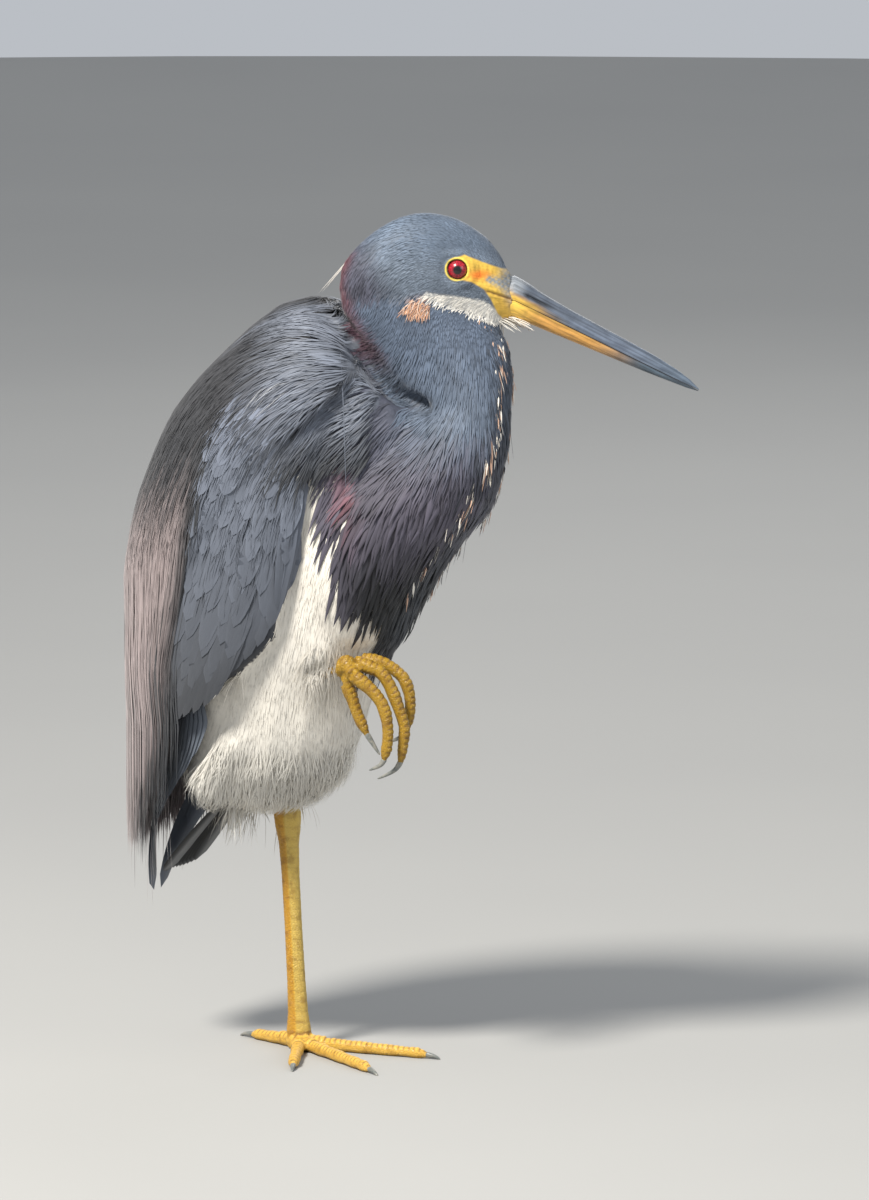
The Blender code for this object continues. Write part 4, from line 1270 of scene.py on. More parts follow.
def lower_paint(along, over, grain):
    share = np.clip(along / BILL_LENGTH, 0, 1)
    return layered(
        len(along), BILL_ORANGE,
        (BILL_TIP, ramp(share, 0.38, 0.72)),
        (BILL_OLIVE, ramp(over, -1.8, -0.2) * ramp(-share, -0.6, -0.2) * 0.6),
        *bill_ends(share, over),
        (LORES, ramp(-along - 0.9 * grain, -17, -1) * 0.85),
    )


def bill_half(name, upper):
    piece = swept(name, bill_rings(upper))
    points = spots_of(piece)
    offset = points - BILL_ROOT
    along, over, aside = offset @ BILL_ALONG, offset @ BILL_UP, offset @ HEAD_LEFT
    lip = bell(over, 0.7) * ramp(-along, -80, -60)
    pressed = 0.22 * lip
    grain = bill_grain(along, over, aside)
    if upper:
        past_line = over - (4.1 - 0.02 * along)
        slot = bell(past_line, 0.6) * ramp(along, 2, 4.5) * ramp(-along, -21, -9)
        furrow = bell(past_line, 1.1) * ramp(along, 0, 3) * ramp(-along, -46, -16)
        pressed = pressed + 0.9 * slot + 0.35 * furrow
        paint = upper_paint(along, over, grain, slot, furrow)
    else:
        paint = lower_paint(along, over, grain)
    side = np.sign(aside) * ramp(np.abs(aside), 0.4, 1.6)
    put_spots(piece, points - HEAD_LEFT * (side * pressed)[:, None])
    take(piece)
    bpy.ops.object.shade_smooth_by_angle(angle=math.radians(50))
    set_colour(piece, "horn", paint * (1 + 0.34 * grain)[:, None])
    return piece


def make_eye(name):
    """The eyeball, its pole towards the side of the head, with a slightly bulging clear front."""
    bpy.ops.mesh.primitive_uv_sphere_add(segments=64, ring_count=40, radius=EYE_RADIUS * MM)
    piece = bpy.context.object
    piece.name = piece.data.name = name + "_ball"
    across, up, height = spots_of(piece).T
    reach, turn = np.hypot(across, up), np.arctan2(up, across)
    bulge = 0.35 * np.sqrt(np.clip(1 - (reach / 3.4) ** 2, 0, 1)) * (height > 0)
    forward = across * (-1 if name == "eye_right" else 1)
    points = (
        EYES[name] + HEAD_FORWARD * forward[:, None] + UPWARD * up[:, None]
        + eye_outward(name) * (height + bulge)[:, None]
    )
    put_spots(piece, points)
    edit(piece, bpy.ops.mesh.normals_make_consistent, inside=False)
    smooth(piece)
    set_vector(piece, "round", np.where(height > 0, reach, 9), 0 * reach, 0 * reach)
    set_vector(piece, "rays", np.cos(turn) * 4, np.sin(turn) * 4, reach * 0.5)
    return piece


def make_claws(side):
    claws = merged_copy(CLAWS[side], f"claws_{side}", 0.4)
    edit(claws, bpy.ops.mesh.tris_convert_to_quads)
    apply(claws, "SUBSURF", levels=2, render_levels=2)
    points = spots_of(claws)
    points[:, 2] = np.maximum(points[:, 2], 0.0)
    put_spots(claws, points)
    smooth(claws)
    return claws


# ---------------------------------------------------------------- legs

LEG_YELLOW = linear(203, 154, 42)
LEG_EDGE = linear(140, 89, 29)
SHANK_PALE = linear(191, 176, 101)
TOE_BAR = linear(104, 70, 40)
RAISED_TOE = linear(146, 115, 23)
TOE_PALE = linear(226, 184, 84)
# Which way each standing toe points, in degrees, and how long it is.
STANDING_TURNS = ((-65, 46), (-33, 63), (5, 60), (161, 30))
RAISED_PLACE = np.array((35.0, -27.5, 181.5)) + BODY_PLACE
RAISED_TURN = math.radians(12.0)
RAISED_AHEAD = np.array((math.cos(RAISED_TURN), math.sin(RAISED_TURN), 0))
RAISED_ASIDE = np.array((math.sin(RAISED_TURN), -math.cos(RAISED_TURN), 0))
SHANK_TUCK = 9.0  # how far the raised shank is drawn in under the flank's feathers
# Each raised toe: its side at the root and at the tip, then the reach and height of its points.
RAISED_CURLS = (
    (0, 0.5, ((9, -0.6), (18, -3.4), (22.8, -9.5), (26.6, -18.5), (29.4, -27), (29, -34), (28, -41.5))),
    (5.5, 7.5, ((8.2, -5), (15.5, -10.2), (21, -16.4), (23.6, -24.6), (23.8, -33), (22.6, -39.8))),
    (-6.4, -8.2, ((8.8, 0.4), (18, -1), (26.4, -6.5), (29.4, -14), (29.6, -22), (27.6, -29.5))),
    (0.6, 1.5, ((3.6, -9.5), (6.2, -16), (8.8, -23), (12.4, -30))),
)


def raised_spot(reach, height, aside=0):
    return RAISED_PLACE + RAISED_AHEAD * reach + UPWARD * height + RAISED_ASIDE * aside


def leg_lines():
    """The middle line of the shank and of each toe, what part it is, and which way its scutes face."""
    lines = [(((0, 0, 4), (-5, -2.7, 110.6)), "shank", np.array((1.0, -0.25, 0.0)))]
    for turn, tip in STANDING_TURNS:
        way = np.array((math.cos(math.radians(turn)), math.sin(math.radians(turn)), 0))
        lines.append(((way * 3 + UPWARD * 3, way * tip + UPWARD * 2.4), "toe", UPWARD))
    for stem, tip, spots in RAISED_CURLS:
        asides = np.linspace(stem, tip, len(spots))
        line = [raised_spot(*spot, aside) for spot, aside in zip(spots, asides)]
        lines.append(((RAISED_PLACE, *line), "raised", RAISED_AHEAD * 0.9 + UPWARD * 0.45))
    lines.append(((raised_spot(-15, -8.5), raised_spot(1.6, -2)), "raised", UPWARD))
    return lines


def nearest_leg(points):
    """For each place on the legs, the part it is on, how far along it and how far round to the front."""
    best = np.full(len(points), 1e9)
    along, facing, part = np.zeros((3, len(points)))
    lines = leg_lines()
    for number, (line, _, front) in enumerate(lines):
        start = 0.0
        line = np.array(line, float)
        for low, high in zip(line, line[1:]):
            share, offset, gap = from_segment(points, low, high)
            length = np.linalg.norm(high - low)
            closer = gap < best
            best = np.where(closer, gap, best)
            along = np.where(closer, start + share * length, along)
            facing = np.where(closer, offset @ front / np.maximum(gap, 1e-6), facing)
            part = np.where(closer, number, part)
            start += length
    kinds = np.array([kind for _, kind, _ in lines])[part.astype(int)]
    return kinds, along, facing


def scutes(kinds, along, facing):
    """The plates down the front of the legs: how deep, how near a groove, and how far to the front."""
    shank = kinds == "shank"
    pitch = np.where(shank, 4.6, 2.5)
    phase = ((along + np.where(shank, 1.2, 0.5) * facing) / pitch) % 1.0
    front = ramp(facing, 0.15, 0.55)
    groove = bell(np.minimum(phase, 1 - phase) * pitch, 0.34) * np.where(shank, 0.45, 1.0)
    rise = np.where(shank, 0.07, 0.16) * np.sin(math.pi * phase) ** 0.6
    behind = 0.10 * np.sin(along * 2 * math.pi / 1.9) * np.sin(facing * 7.0)
    return front * (rise - 0.16 * groove) + (1 - front) * behind, groove * front, front


def make_legs():
    legs = merged_copy([*LEGS, *CLAWS["left"], *CLAWS["right"]], "legs", 0.3)
    remesh(legs, 0.52, 9, whole=False)
    points = spots_of(legs) - normals_of(legs) * 0.25
    kinds, along, facing = nearest_leg(points)
    depth, groove, front = scutes(kinds, along, facing)
    points = points + normals_of(legs) * depth[:, None]
    shank, toe, raised = ((kinds == kind).astype(float) for kind in ("shank", "toe", "raised"))
    points[:, 1] += SHANK_TUCK * raised * ramp(RAISED_PLACE[0] - points[:, 0], -1, 4)
    points[:, 2] = np.maximum(points[:, 2], 0.0)
    put_spots(legs, points)
    smooth(legs)
    set_colour(legs, "hide", layered(
        len(points), LEG_YELLOW,
        (LEG_EDGE, (1 - front) * 0.35),
        (SHANK_PALE, front**3 * shank * 0.55),
        (RAISED_TOE, raised * 0.8),
        (TOE_PALE, toe * 0.6),
        (TOE_BAR, np.clip(groove * 1.2, 0, 1) * (0.7 - 0.4 * shank)),
    ))
    return legs


# ---------------------------------------------------------------- wings and tail

# The outline round the folded wings by height: back, centre, half-width, in the body's frame.
CLOAK = (
    (66, -73.5, -36, 10), (72, -74.5, -34, 14), (85, -75.5, -30, 20), (100, -76.5, -26, 27),
    (120, -77.5, -20, 33), (140, -78, -14, 38), (157, -78.5, -10, 42), (175, -78.5, -6, 45),
)
# The quills under the wing: height, the angles round the cloak of their rear and front edges.
QUILLS = (
    (67, 15, 18), (76, 19, 29), (90, 27, 41), (104, 37, 50), (118, 43, 57), (131, 48, 63), (152, 54, 71),
)
QUILL_TOP = 160
TAIL_DROP = math.radians(50.5)
TAIL_ROOT = np.array((-33.5, 0.0, 113.0)) + BODY_PLACE


def cloak_point(height, angle, inset, hand):
    back, centre, half = (read(CLOAK, height, column) for column in (1, 2, 3))
    turn = np.radians(angle)
    reach = centre - (centre - back - inset) * np.cos(turn)
    return np.stack((reach, hand * (half - inset) * np.sin(turn), height), axis=-1) + BODY_PLACE


def make_quills(coat, hand, name):
    """The long flight feathers, each under the next, whose tips end in steps down the front edge."""
    count, steps = 8, 18
    place = np.linspace(0, 1, count)
    height = np.linspace(QUILL_TOP, 68 + 66 * place**1.1, steps + 1, axis=1)
    share = np.linspace(0.02 + 0.9 * place, 0.5 + 0.44 * place, steps + 1, axis=1)
    rear, front = read(QUILLS, height, 1), read(QUILLS, height, 2)
    inset = 6.4 - 5.4 * ramp((QUILL_TOP - height) / 93, 0.2, 0.65) + 0.25 * place[:, None]
    points = cloak_point(height, rear + (front - rear) * share, inset, hand)
    ups = unit((points - BODY_PLACE - np.array((-20.0, 0, 0))) * (1, 1, 0))
    colours = np.tile(QUILL, (count, 1)) * np.linspace(0.8, 1.1, count)[:, None]
    return feathers(name, points, ups, 5.8 + 0.6 * place, leaf(steps, 0.6, 0.35, 3.0), 0.25, colours,
                    coat.patches(points[:, 0]), 41, sides=4, soften=0.6, cup=0.02, tilt=hand * 0.06)


def make_secondaries(coat, form, hand, name):
    """The long feathers of the lower wing, each rear one over the next, their tips in steps down its hem."""
    count, steps, length = 12, 16, 60.0
    reach = np.linspace(17, -47, count)
    tips = np.stack((reach, np.full(count, hand * 50.0), read(WING_HEM, reach) + 3.0), axis=1) + BODY_PLACE
    points, ups = walk(form, tips, np.full(count, length), steps, np.zeros(count), SEATED, -1)
    points, ups = points[:, ::-1].copy(), ups[:, ::-1].copy()
    ups[:, -4:] = ups[:, -5:-4]
    points[:, -1] = points[:, -3] * 2 - points[:, -5]
    points[:, -2] = (points[:, -3] + points[:, -1]) / 2
    for _ in range(3):
        points[:, 1:-1] = (points[:, :-2] + points[:, 1:-1] * 2 + points[:, 2:]) / 4
        ups[:, 1:-1] = unit(ups[:, :-2] + ups[:, 1:-1] * 2 + ups[:, 2:])
    share = np.linspace(0, 1, steps + 1)[None]
    lift = -1.7 + 1.8 * share**0.8 + 0.05 * np.arange(count)[:, None] * share
    points = points + ups * lift[..., None]
    colours = wing_paint(points.reshape(-1, 3)).reshape(points.shape)
    return feathers(name, points, ups, np.full(count, 4.8), leaf(steps, 0.7, 0.4, 2.0), 0.16, colours,
                    coat.patches(points[:, 0]), 45, sides=4, soften=0.65, cup=0.02, tilt=hand * 0.08)


def make_tail(coat):
    """The tail feathers in a shallow fan."""
    count, steps = 14, 12
    along = np.array((-math.cos(TAIL_DROP), 0, -math.sin(TAIL_DROP)))
    up = np.array((-math.sin(TAIL_DROP), 0, math.cos(TAIL_DROP)))
    side = np.linspace(-1, 1, count)
    reach = np.linspace(-6, 46.5 - 3.5 * side**2, steps + 1, axis=1)[..., None]
    side = side[:, None, None]
    aside = side * (7 + 7.5 * np.linspace(0, 1, steps + 1)[:, None])
    lift = 1.6 - 2.2 * abs(side) - 0.0006 * (reach - 20) ** 2
    points = TAIL_ROOT + along * reach + np.array((0, 1, 0)) * aside + up * lift
    ups = np.tile(up, (count, steps + 1, 1))
    colours = np.tile(TAIL_DARK, (count, 1))
    return feathers("tail_feathers", points, ups, np.full(count, 7.0), leaf(steps, 0.6, 0.5, 3.2), 0.3,
                    colours, coat.patches(points[:, 0]), 43, sides=4)


# ---------------------------------------------------------------- the coat


def hang(points, ups, rng):
    """Lets the low ends of the back's plumes fall straight, not round under the folded wings."""
    body = to_body(points)
    steps = np.diff(body, axis=1)
    for k in range(1, body.shape[1]):
        share = 0.1 + 0.9 * ramp(body[:, k, 2:], 155, 185)
        body[:, k, :2] = body[:, k - 1, :2] + steps[:, k - 1, :2] * share
    height = body[..., 2]
    back, centre, half = (read(CLOAK, np.maximum(height, 150), column) for column in (1, 2, 3))
    loose = 2.6 * rng.random((len(body), 1)) ** 1.5
    reach = (body[..., 0] - centre) / (centre - back + 1.4 + loose)
    past = np.maximum(np.hypot(reach, body[..., 1] / (half + 1.0 + loose)), 1e-6)
    pull = 1 + (1 / past - 1) * (past > 1) * ramp(-height, -245, -190) * ramp(-reach, -0.05, 0.05)
    body[..., 0] = centre + (body[..., 0] - centre) * pull
    body[..., 1] *= pull
    outward = unit(body * (1, 1.6, 0) + np.array((20.0, 0, 0)))
    ups[:] = np.where(body[..., 2:] < 165, outward, ups)
    return body + BODY_PLACE


def streaked(scale, strength, darkened=0.0):
    """A tint with darker and lighter locks by place, and a share of feathers that are darker still."""

    def tint(colours, roots, points, rng):
        waves = np.zeros(len(roots))
        for _ in range(6):
            way = rng.normal(size=3) / scale
            waves += np.sin(roots @ way + rng.random() * FULL_TURN)
        tone = 1 + strength * waves / 2.4
        if darkened:
            tone = tone * (1 - 0.3 * (rng.random(len(roots)) < darkened))
        return colours * tone[:, None]

    return tint


LOCKS = streaked(3.0, 0.13, 0.12)
SLITS = streaked(2.6, 0.16)
FADE = streaked(9.0, 0.06)


def peach(colours, roots, points, rng):
    pale = layered(len(roots), EAR, (CHIN_WHITE, rng.random(len(roots)) ** 3 * 0.7))
    return blend(pale, CHEEK, rng.random(len(roots)) ** 4 * 0.6)


def chin_white(colours, roots, points, rng):
    back = 0.35 + 0.4 * ramp(-to_face(roots)[:, 0], -4, 10)
    return layered(len(roots), CHIN_WHITE, (CHEEK, (rng.random(len(roots)) < 0.4) * back))


def dashed(colours, roots, points, rng):
    """Locks, with rufous, white and dark tips scattered beside the middle of the foreneck."""
    rings = points.shape[1]
    colours = np.repeat(LOCKS(colours, roots, points, rng)[:, None], rings, axis=1)
    gap = dash_gap(points[:, int(0.7 * rings)])
    chance = rng.random(len(gap))
    pale = np.where((rng.random(len(gap)) < 0.5)[:, None], RUSTY, DASH_PALE)
    tip = ramp(np.linspace(0, 1, rings), 0.35, 0.55) * ((gap < 2.2) & (chance < 0.3))[:, None]
    dark = 0.75 * ((gap < 7) & (chance > 0.72))
    colours = blend(colours, FRINGE_DARK * 0.6, np.repeat(dark[:, None], rings, axis=1))
    return blend(colours, pale[:, None], tip)


def neck_length(roots):
    """From the head's short feathers to the long ones low on the neck."""
    return 6.5 + 9.5 * ramp(-roots[:, 2], -326, -296)


def face_length(roots):
    """Shortest at the lids and the bill, longer towards the nape and the throat."""
    reach, _, height = to_face(roots).T
    return 1.7 + 5.2 * ramp(np.hypot(reach - 6, height * 0.8), 8, 44)


def covert_length(roots):
    """Longer down the wing, but never past its hem."""
    room = roots[:, 2] - read(WING_HEM, to_body(roots)[:, 0] - 8)
    return np.clip(16.0 + 28.0 * ramp(-roots[:, 2], -295, -190), 7, np.maximum(room * 1.1 - 8, 7))


def covert_width(roots):
    return 3.3 + 2.6 * ramp(-roots[:, 2], -295, -190)


def shoulder_length(roots):
    return 14 + 20.0 * ramp(-to_body(roots)[:, 0], -45, 0)


def plume_length(roots):
    """Long enough to hang past the wings behind, shorter towards the sides."""
    end = 94 + 1.2 * np.clip(to_body(roots)[:, 0] + 62, 0, 42)
    return np.clip(roots[:, 2] - end, 18, 94)


def grow_all(coat, rows, **shared):
    """Pieces and their slots, from rows that hold what `grow` takes, with the slot after the name."""
    return [
        (grow(coat, name, weights.astype(float), *sizes, **shared, **options), slot)
        for name, slot, weights, *sizes, options in rows
    ]


def skin_pieces(coat, form):
    """The coat that grows on the skin: face, neck, breast and belly."""
    homes, centres = coat.homes, coat.surface.centres
    height = centres[:, 2]
    face = to_face(centres)
    reach, side = face[:, 0], face[:, ::2]
    bare = (inside(side, LORES_OUTLINE) > -0.35) & (reach > -5)
    clear = ~bare & (np.hypot(*side.T) > 5.35)
    on_head = (homes == "head") & clear & (reach < 24.2)
    near = on_head & (reach > -15)
    crown = (homes == "neck") & (height > 322)
    ear = (homes != "breast") & clear & ((((side - EAR_PLACE) / (5.6, 3.2)) ** 2).sum(axis=1) < 1)
    chin = on_head & (inside(side, CHIN_OUTLINE) > -0.6)
    over, fold = across_crease(centres)
    seen = Surface(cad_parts["mantle"]).gaps(centres) >= 5.0
    open_skin = seen & ((fold < 0.5) | (over > 0.5) | (over < -4.5))
    neck = (homes == "neck") & ~crown & open_skin
    breast = (homes == "breast") & open_skin
    trunk = (homes == "trunk") & seen & (form.gaps(centres) < 4.2)
    cuff = np.linalg.norm(to_body(centres) - np.array((30.0, -28.0, 184.0)), axis=1) < 11
    low = trunk & ((height < 146) | cuff)
    return grow_all(coat, (
        ("face_feathers", "slate_feathers", near, 0.78, face_length, 0.24, 3, 101,
         dict(sink=0.12, rise=0.3, stray=0.07, tint=LOCKS, thickness=0.06)),
        ("ear_tufts", "white_feathers", ear, 0.62, 4.2, 0.15, 4, 105,
         dict(sink=0.1, rise=1.5, stray=0.3, tint=peach, thickness=0.05)),
        ("chin_feathers", "white_feathers", chin, 0.7, 3.8, 0.17, 4, 107,
         dict(sink=0.1, rise=0.8, stray=0.25, tint=chin_white, thickness=0.06)),
        ("head_feathers", "slate_feathers", (on_head & ~near) | crown, 1.0, face_length, 0.3, 4, 111,
         dict(sink=0.2, rise=0.4, stray=0.06, tint=LOCKS, thickness=0.07)),
        ("neck_feathers", "slate_feathers", neck, 1.15, neck_length, 0.36, 5, 121,
         dict(sink=0.3, rise=0.6, stray=0.06, tint=dashed, thickness=0.1)),
        ("breast_feathers", "plum_feathers", breast & (height > 262), 1.6, 19.0, 0.55, 6, 131,
         dict(sink=0.5, rise=1.0, stray=0.1, tint=dashed, soften=0.4)),
        ("breast_plumes", "plum_feathers", breast & (height <= 268), 3.2, 28.0, 2.05, 8, 141,
         dict(sink=0.8, rise=1.7, stray=0.1, tint=SLITS, thickness=0.3, sides=4, soften=0.15,
              outline=leaf(8, 0.4, 0.4, 1.05))),
        ("belly_feathers", "white_feathers", trunk, 1.45, 15.0, 0.42, 4, 151,
         dict(sink=0.25, rise=0.3, stray=0.07, tint=FADE, thickness=0.06, soften=0.95)),
        ("belly_fluff", "white_feathers", low, 1.5, 21.0, 0.2, 6, 161,
         dict(sink=0.3, rise=5.0, stray=0.22, tint=FADE, power=1.8, thickness=0.06, soften=0.9)),
    ))


def wing_pieces(coat, form, smooth_wing, side, hand):
    """One folded wing: its coverts, the lining under them, the secondaries, and the hairs high on it."""
    _, aside, height = to_body(form.centres).T
    wing = smooth_wing & (aside * hand > 0)
    coverts, lining, hairs = grow_all(coat, (
        (f"wing_coverts_{side}", "coverts", wing, 6.2, covert_length, covert_width, 10, 171 + hand,
         dict(sink=1.1, rise=0.16, stray=0.02, vary=0.06, tint=FADE, thickness=0.11, sides=4, power=0.8,
              outline=leaf(10, 0.5, 0.5, 1.7), even=True, soften=0.8, cup=0.024)),
        (f"wing_lining_{side}", "coverts", wing, 3.0, 20.0, 1.5, 5, 173 + hand,
         dict(sink=2.0, rise=-0.8, stray=0.04, thickness=0.1)),
        (f"wing_hairs_{side}", "slate_feathers", wing * ramp(height, 205, 285), 2.0, 17.0, 0.24, 6,
         177 + hand, dict(sink=0.6, rise=0.35, stray=0.1, tint=LOCKS, thickness=0.08, soften=0.75)),
    ), form=form, home="wing", limit=SEATED)
    secondaries = make_secondaries(coat, form, hand, f"secondaries_{side}")
    return [coverts, lining, (secondaries, "coverts"), hairs]


def form_pieces(coat, form):
    """The coat round the folded wings: coverts, the shoulders' plumes and the back's."""
    homes = form.homes
    reach, aside, height = to_body(form.centres).T
    on_wing = np.isin(homes, ("mantle", "wing"))
    behind = reach < read(PLUME_FRONT, height)
    smooth_wing = on_wing & ~behind & (height < read(COVERT_TOP, reach))
    smooth_wing &= (height > read(WING_HEM, reach) + 36) & (np.abs(form.normals[:, 1]) > 0.4)
    made = []
    for side, hand in HANDS.items():
        made += wing_pieces(coat, form, smooth_wing, side, hand)
    shoulder = (on_wing | np.isin(homes, ("quill", "trunk"))) & ~smooth_wing
    shoulder &= (height > 262 + 10 * ramp(reach, 4, 14)) & (reach < 50)
    shoulder |= (homes == "neck") & (reach < 34) & (height < 334)
    over, fold = across_crease(form.centres)
    shoulder &= (fold < 0.35) | (over < -2.5)
    fading = ramp(-height, -200, -150)
    low_back = (height < 200) & (reach > -61 - 9 * fading)
    back = (on_wing & behind & (height > 112)) * ~low_back * (1 - 0.75 * fading)
    for side, hand in HANDS.items():
        this_side = aside * hand > 0
        made += grow_all(coat, (
            (f"shoulder_plumes_{side}", "back_plumes", shoulder & this_side, 1.6, shoulder_length, 0.36, 7,
             181 + hand, dict(sink=0.9, rise=0.6, stray=0.1, thickness=0.12, limit=SEATED)),
            (f"back_plumes_{side}", "back_plumes", back * this_side, 2.0, plume_length, 0.36, 10,
             191 + hand, dict(vary=0.1, sink=1.0, rise=0.9, stray=0.05, thickness=0.13, after=hang)),
        ), form=form, home="mantle", tint=LOCKS, soften=0.35)
    return made


def spray(coat, name, roots, ways, lengths, width, paint, seed, bend=(0, 0, -0.25)):
    """Loose strands that start at the roots and bend away freely."""
    steps = 7
    share = np.linspace(0, 1, steps + 1)[None, :, None]
    reach = lengths[:, None, None]
    points = roots[:, None] + ways[:, None] * reach * share + np.array(bend) * reach * share**2
    toward = np.array(bend) + 0.001
    ups = np.repeat(unit(np.cross(np.cross(ways, toward), ways))[:, None], steps + 1, axis=1)
    colours = np.broadcast_to(paint, (len(roots), 3))
    return feathers(name, points, -ups, np.full(len(roots), width), leaf(steps, 0.6, 0.3, 1.2), width * 0.5,
                    colours, coat.patches(roots), seed)


def loose_pieces(coat, form):
    """The few strands and tufts that stand clear of the coat."""
    rng = np.random.default_rng(7)
    pieces = []

    def near(way, spread):
        """Ways scattered about one, as many as the latest roots."""
        return unit(way + rng.normal(size=roots.shape) * spread)

    def add(name, slot, shortest, extra, width, paint, seed, **more):
        lengths = shortest + extra * rng.random(len(roots))
        pieces.append((spray(coat, name, roots, ways, lengths, width, paint, seed, **more), slot))

    roots = from_face((-43.0, 0.5, 7.0)) + rng.normal(size=(5, 3)) * 0.5
    ways = near(unit(-HEAD_FORWARD * 0.75 - UPWARD * 0.85 - HEAD_LEFT * 0.12), 0.03)
    add("nape_plume", "white_feathers", 19, 7, 0.22, NAPE_WHITE, 301, bend=(-0.05, 0, -0.06))

    count = 90
    hands = np.where(rng.random(count) < 0.5, -1, 1)
    reach = 14 + 9 * rng.random(count)
    aside = hands * (1 + 4.5 * rng.random(count))
    roots = from_face(np.stack((reach, aside, -22.6 + 1.2 * rng.random(count)), axis=1))
    ways = near(HEAD_FORWARD * 0.9 - UPWARD * 0.3, 0.1)
    add("chin_tuft", "white_feathers", 5, 8, 0.3, CHIN_WHITE, 311, bend=(0, 0, -0.12))

    count = 34
    heights = rng.uniform(196, 300, count)
    reach, aside = at_heights(FORENECK[4:], heights)
    spots = np.stack((reach, aside + rng.normal(size=count) * 5, heights), axis=1)
    roots, normals, _ = coat.surface.seat(spots + BODY_PLACE)
    ways = near(lie(roots) + normals * 0.12, 0.06)
    add("foreneck_strands", "plum_feathers", 11, 9, 0.17, FRINGE_DARK, 321, bend=(0, 0, -0.12))

    count = 150
    heights = rng.uniform(206, 334, count)
    reach, aside = at_heights(DASH_LINE, heights)
    other = 2 * at_heights(FORENECK, heights)[1] - aside
    spots = np.stack((reach, np.where(rng.random(count) < 0.6, aside, other), heights), axis=1)
    spots[:, :2] += rng.normal(size=(count, 2)) * 1.5
    roots, normals, _ = coat.surface.seat(spots + BODY_PLACE)
    roots = roots + normals * (0.6 + 1.2 * ramp(-roots[:, 2], -275, -250))[:, None]
    ways = near(lie(roots) + normals * 0.1, 0.12)
    kinds = rng.choice(3, count, p=(0.35, 0.4, 0.25))
    paint = np.array((RUSTY, STRAND_PALE, FRINGE_DARK * 0.7))[kinds]
    add("foreneck_dashes", "white_feathers", 3, 4, 0.34, paint, 325, bend=(0, 0, -0.08))

    count = 24
    spots = np.array((9.0, -40.0, 301.0)) + rng.normal(size=(count, 3)) * (4.5, 1.5, 4.0)
    spots[:, 1] *= np.where(rng.random(count) < 0.5, -1, 1)
    roots, normals, _ = form.seat(spots + BODY_PLACE)
    ways = near(lie(roots) + normals * 0.3, 0.25)
    add("shoulder_wisps", "white_feathers", 6, 6, 0.17, WISP, 331)

    count = 7
    turn = rng.uniform(-58, -30, count)
    roots = cloak_point(rng.uniform(100, 128, count), turn, 0.5, 1)
    ways = near(-UPWARD, 0.03)
    add("back_threads", "back_plumes", 34, 22, 0.13, MANTLE_TAUPE, 341, bend=(0.02, 0, -0.02))
    return pieces


# ---------------------------------------------------------------- stage, lights and camera

CAMERA_TURN = math.radians(28.0)
CAMERA_RISE = math.radians(9.0)
CAMERA_DISTANCE = 5.0
VIEW_HEIGHT = 0.528
SENSOR = 36.0
LIT_PLACE = Vector((0, 0, 0.2))
# Each light: metres to the right of the view, ahead and up, its size, power and tint.
LIGHTS = {
    "key": (-0.9, -1.1, 1.75, 0.5, 94, (1.0, 0.955, 0.88)),
    "fill": (1.9, -1.4, 0.8, 1.6, 12, (0.92, 0.96, 1.0)),
    "back": (0.5, 1.8, 1.5, 1.2, 7, (1.0, 0.98, 0.95)),
}
FLOOR_TONES = (0.34, 0.34, 0.335, 1.0), (0.37, 0.37, 0.36, 1.0)


def make_stage():
    bpy.ops.mesh.primitive_circle_add(vertices=96, radius=4.0, fill_type="NGON")
    floor = bpy.context.object
    floor.name = floor.data.name = "floor"
    material, nodes = new_material("floor", 0.8, 0.2)
    grain = nodes.add("TexNoise", {"Vector": nodes.place(), "Scale": 3.0, "Detail": 2.0})
    nodes.finish(nodes.mix(grain.outputs["Fac"], *FLOOR_TONES))
    floor.data.materials.append(material)


def camera_axes():
    turn, rise = CAMERA_TURN, CAMERA_RISE
    right = Vector((math.cos(turn), math.sin(turn), 0))
    ahead = Vector((-math.sin(turn) * math.cos(rise), math.cos(turn) * math.cos(rise), -math.sin(rise)))
    return right, ahead, right.cross(ahead)


def put_in(name, data, place, way):
    """A light or a camera at its place, looking that way."""
    thing = linked(name, data)
    thing.location = place
    thing.rotation_euler = way.to_track_quat("-Z", "Y").to_euler()
    return thing


def make_lights():
    right, ahead, _ = camera_axes()
    for name, (aside, away, height, size, power, tint) in LIGHTS.items():
        light = bpy.data.lights.new(name, "AREA")
        light.shape, light.size, light.energy, light.color = "DISK", size, power, tint
        place = right * aside + ahead * away + Vector((0, 0, height))
        put_in(name, light, place, LIT_PLACE - place)
    world = bpy.data.worlds.new("studio")
    world.use_nodes = True
    background = world.node_tree.nodes["Background"].inputs
    background["Color"].default_value = (0.80, 0.84, 0.90, 1.0)
    background["Strength"].default_value = 0.62
    bpy.context.scene.world = world
    bpy.context.scene.view_settings.view_transform = "Standard"


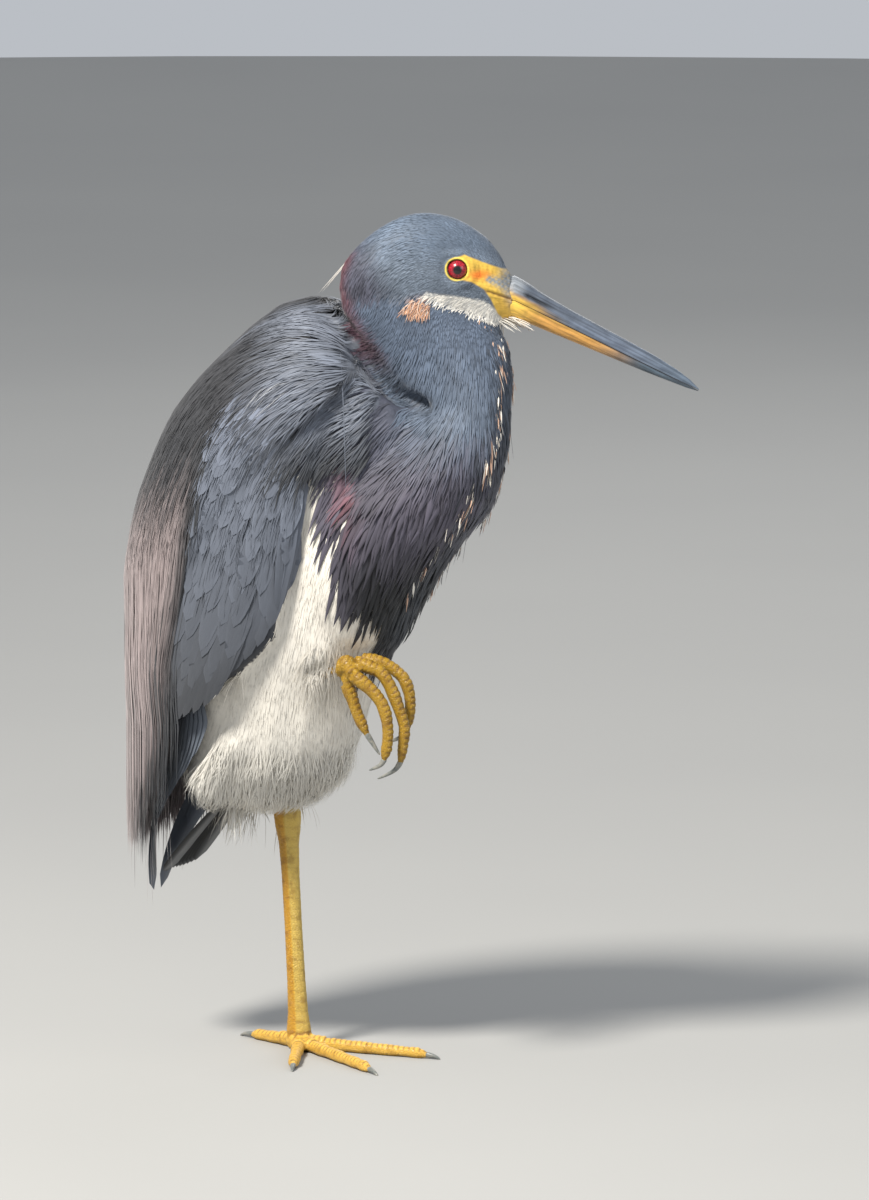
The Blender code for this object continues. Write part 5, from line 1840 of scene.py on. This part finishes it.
def make_camera():
    right, ahead, up = camera_axes()
    aim = right * 0.0592 + up * 0.1971
    data = bpy.data.cameras.new("camera")
    data.sensor_width = SENSOR
    data.lens = SENSOR * CAMERA_DISTANCE / VIEW_HEIGHT
    data.clip_end = 50.0
    bpy.context.scene.camera = put_in("camera", data, aim - ahead * CAMERA_DISTANCE, ahead)


# ---------------------------------------------------------------- assembly


def make_form():
    """One surface round the flesh and the folded wings, for the feathers that lie over them."""
    form = merged_copy((*FLESH, "mantle", *QUILL_NODES), "form", 1.1)
    remesh(form, 2.0, 4)
    put_spots(form, fold_neck(spots_of(form), normals_of(form)))
    surface = Surface(form)
    parts = {**HOMES, "mantle": "mantle", **dict.fromkeys(QUILL_NODES, "quill")}
    surface.homes = nearest_part(surface.centres, parts)
    bpy.data.objects.remove(form, do_unlink=True)
    return surface


def dress(piece, material, nodes=()):
    piece.data.materials.clear()
    piece.data.materials.append(material)
    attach(piece, "root")
    if nodes:
        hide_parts(*nodes)


def dress_coat(coat, form, barbs):
    """The skin's whole coat, the quills and the tail."""
    looks = {name: feather_material(name, barbs, *look) for name, look in FEATHER_LOOKS.items()}
    for piece, kind in skin_pieces(coat, form) + form_pieces(coat, form):
        stands_for = ("mantle",) if piece.name == "back_plumes_right" else ()
        dress(piece, looks[kind], stands_for)
    for piece, kind in loose_pieces(coat, form):
        dress(piece, looks[kind])
    for side, hand in HANDS.items():
        quills = make_quills(coat, hand, f"quills_{side}")
        dress(quills, looks["flight_feathers"], (f"primaries_{side}",))
    dress(make_tail(coat), looks["flight_feathers"], ("tail",))


def main():
    barbs, mottle = make_barb_group(), make_mottle_group()
    skin, homes = make_skin()
    form = make_form()
    coat = Coat(skin, homes)
    skin_paint(skin, homes)
    dress(skin, skin_material(mottle), FLESH)
    dress_coat(coat, form, barbs)
    dress(make_legs(), leg_material(mottle), LEGS)
    claw, iris = claw_material(mottle), eye_material()
    for side in SIDES:
        dress(make_claws(side), claw, CLAWS[side])
    for name in EYES:
        dress(make_eye(name), iris, (name,))
    horn, orange = bill_material("bill_horn", mottle), bill_material("bill_orange", mottle)
    dress(bill_half("bill_over", True), horn, ("bill_upper",))
    dress(bill_half("bill_under", False), orange, ("bill_lower",))
    make_stage()
    make_lights()
    make_camera()


main()
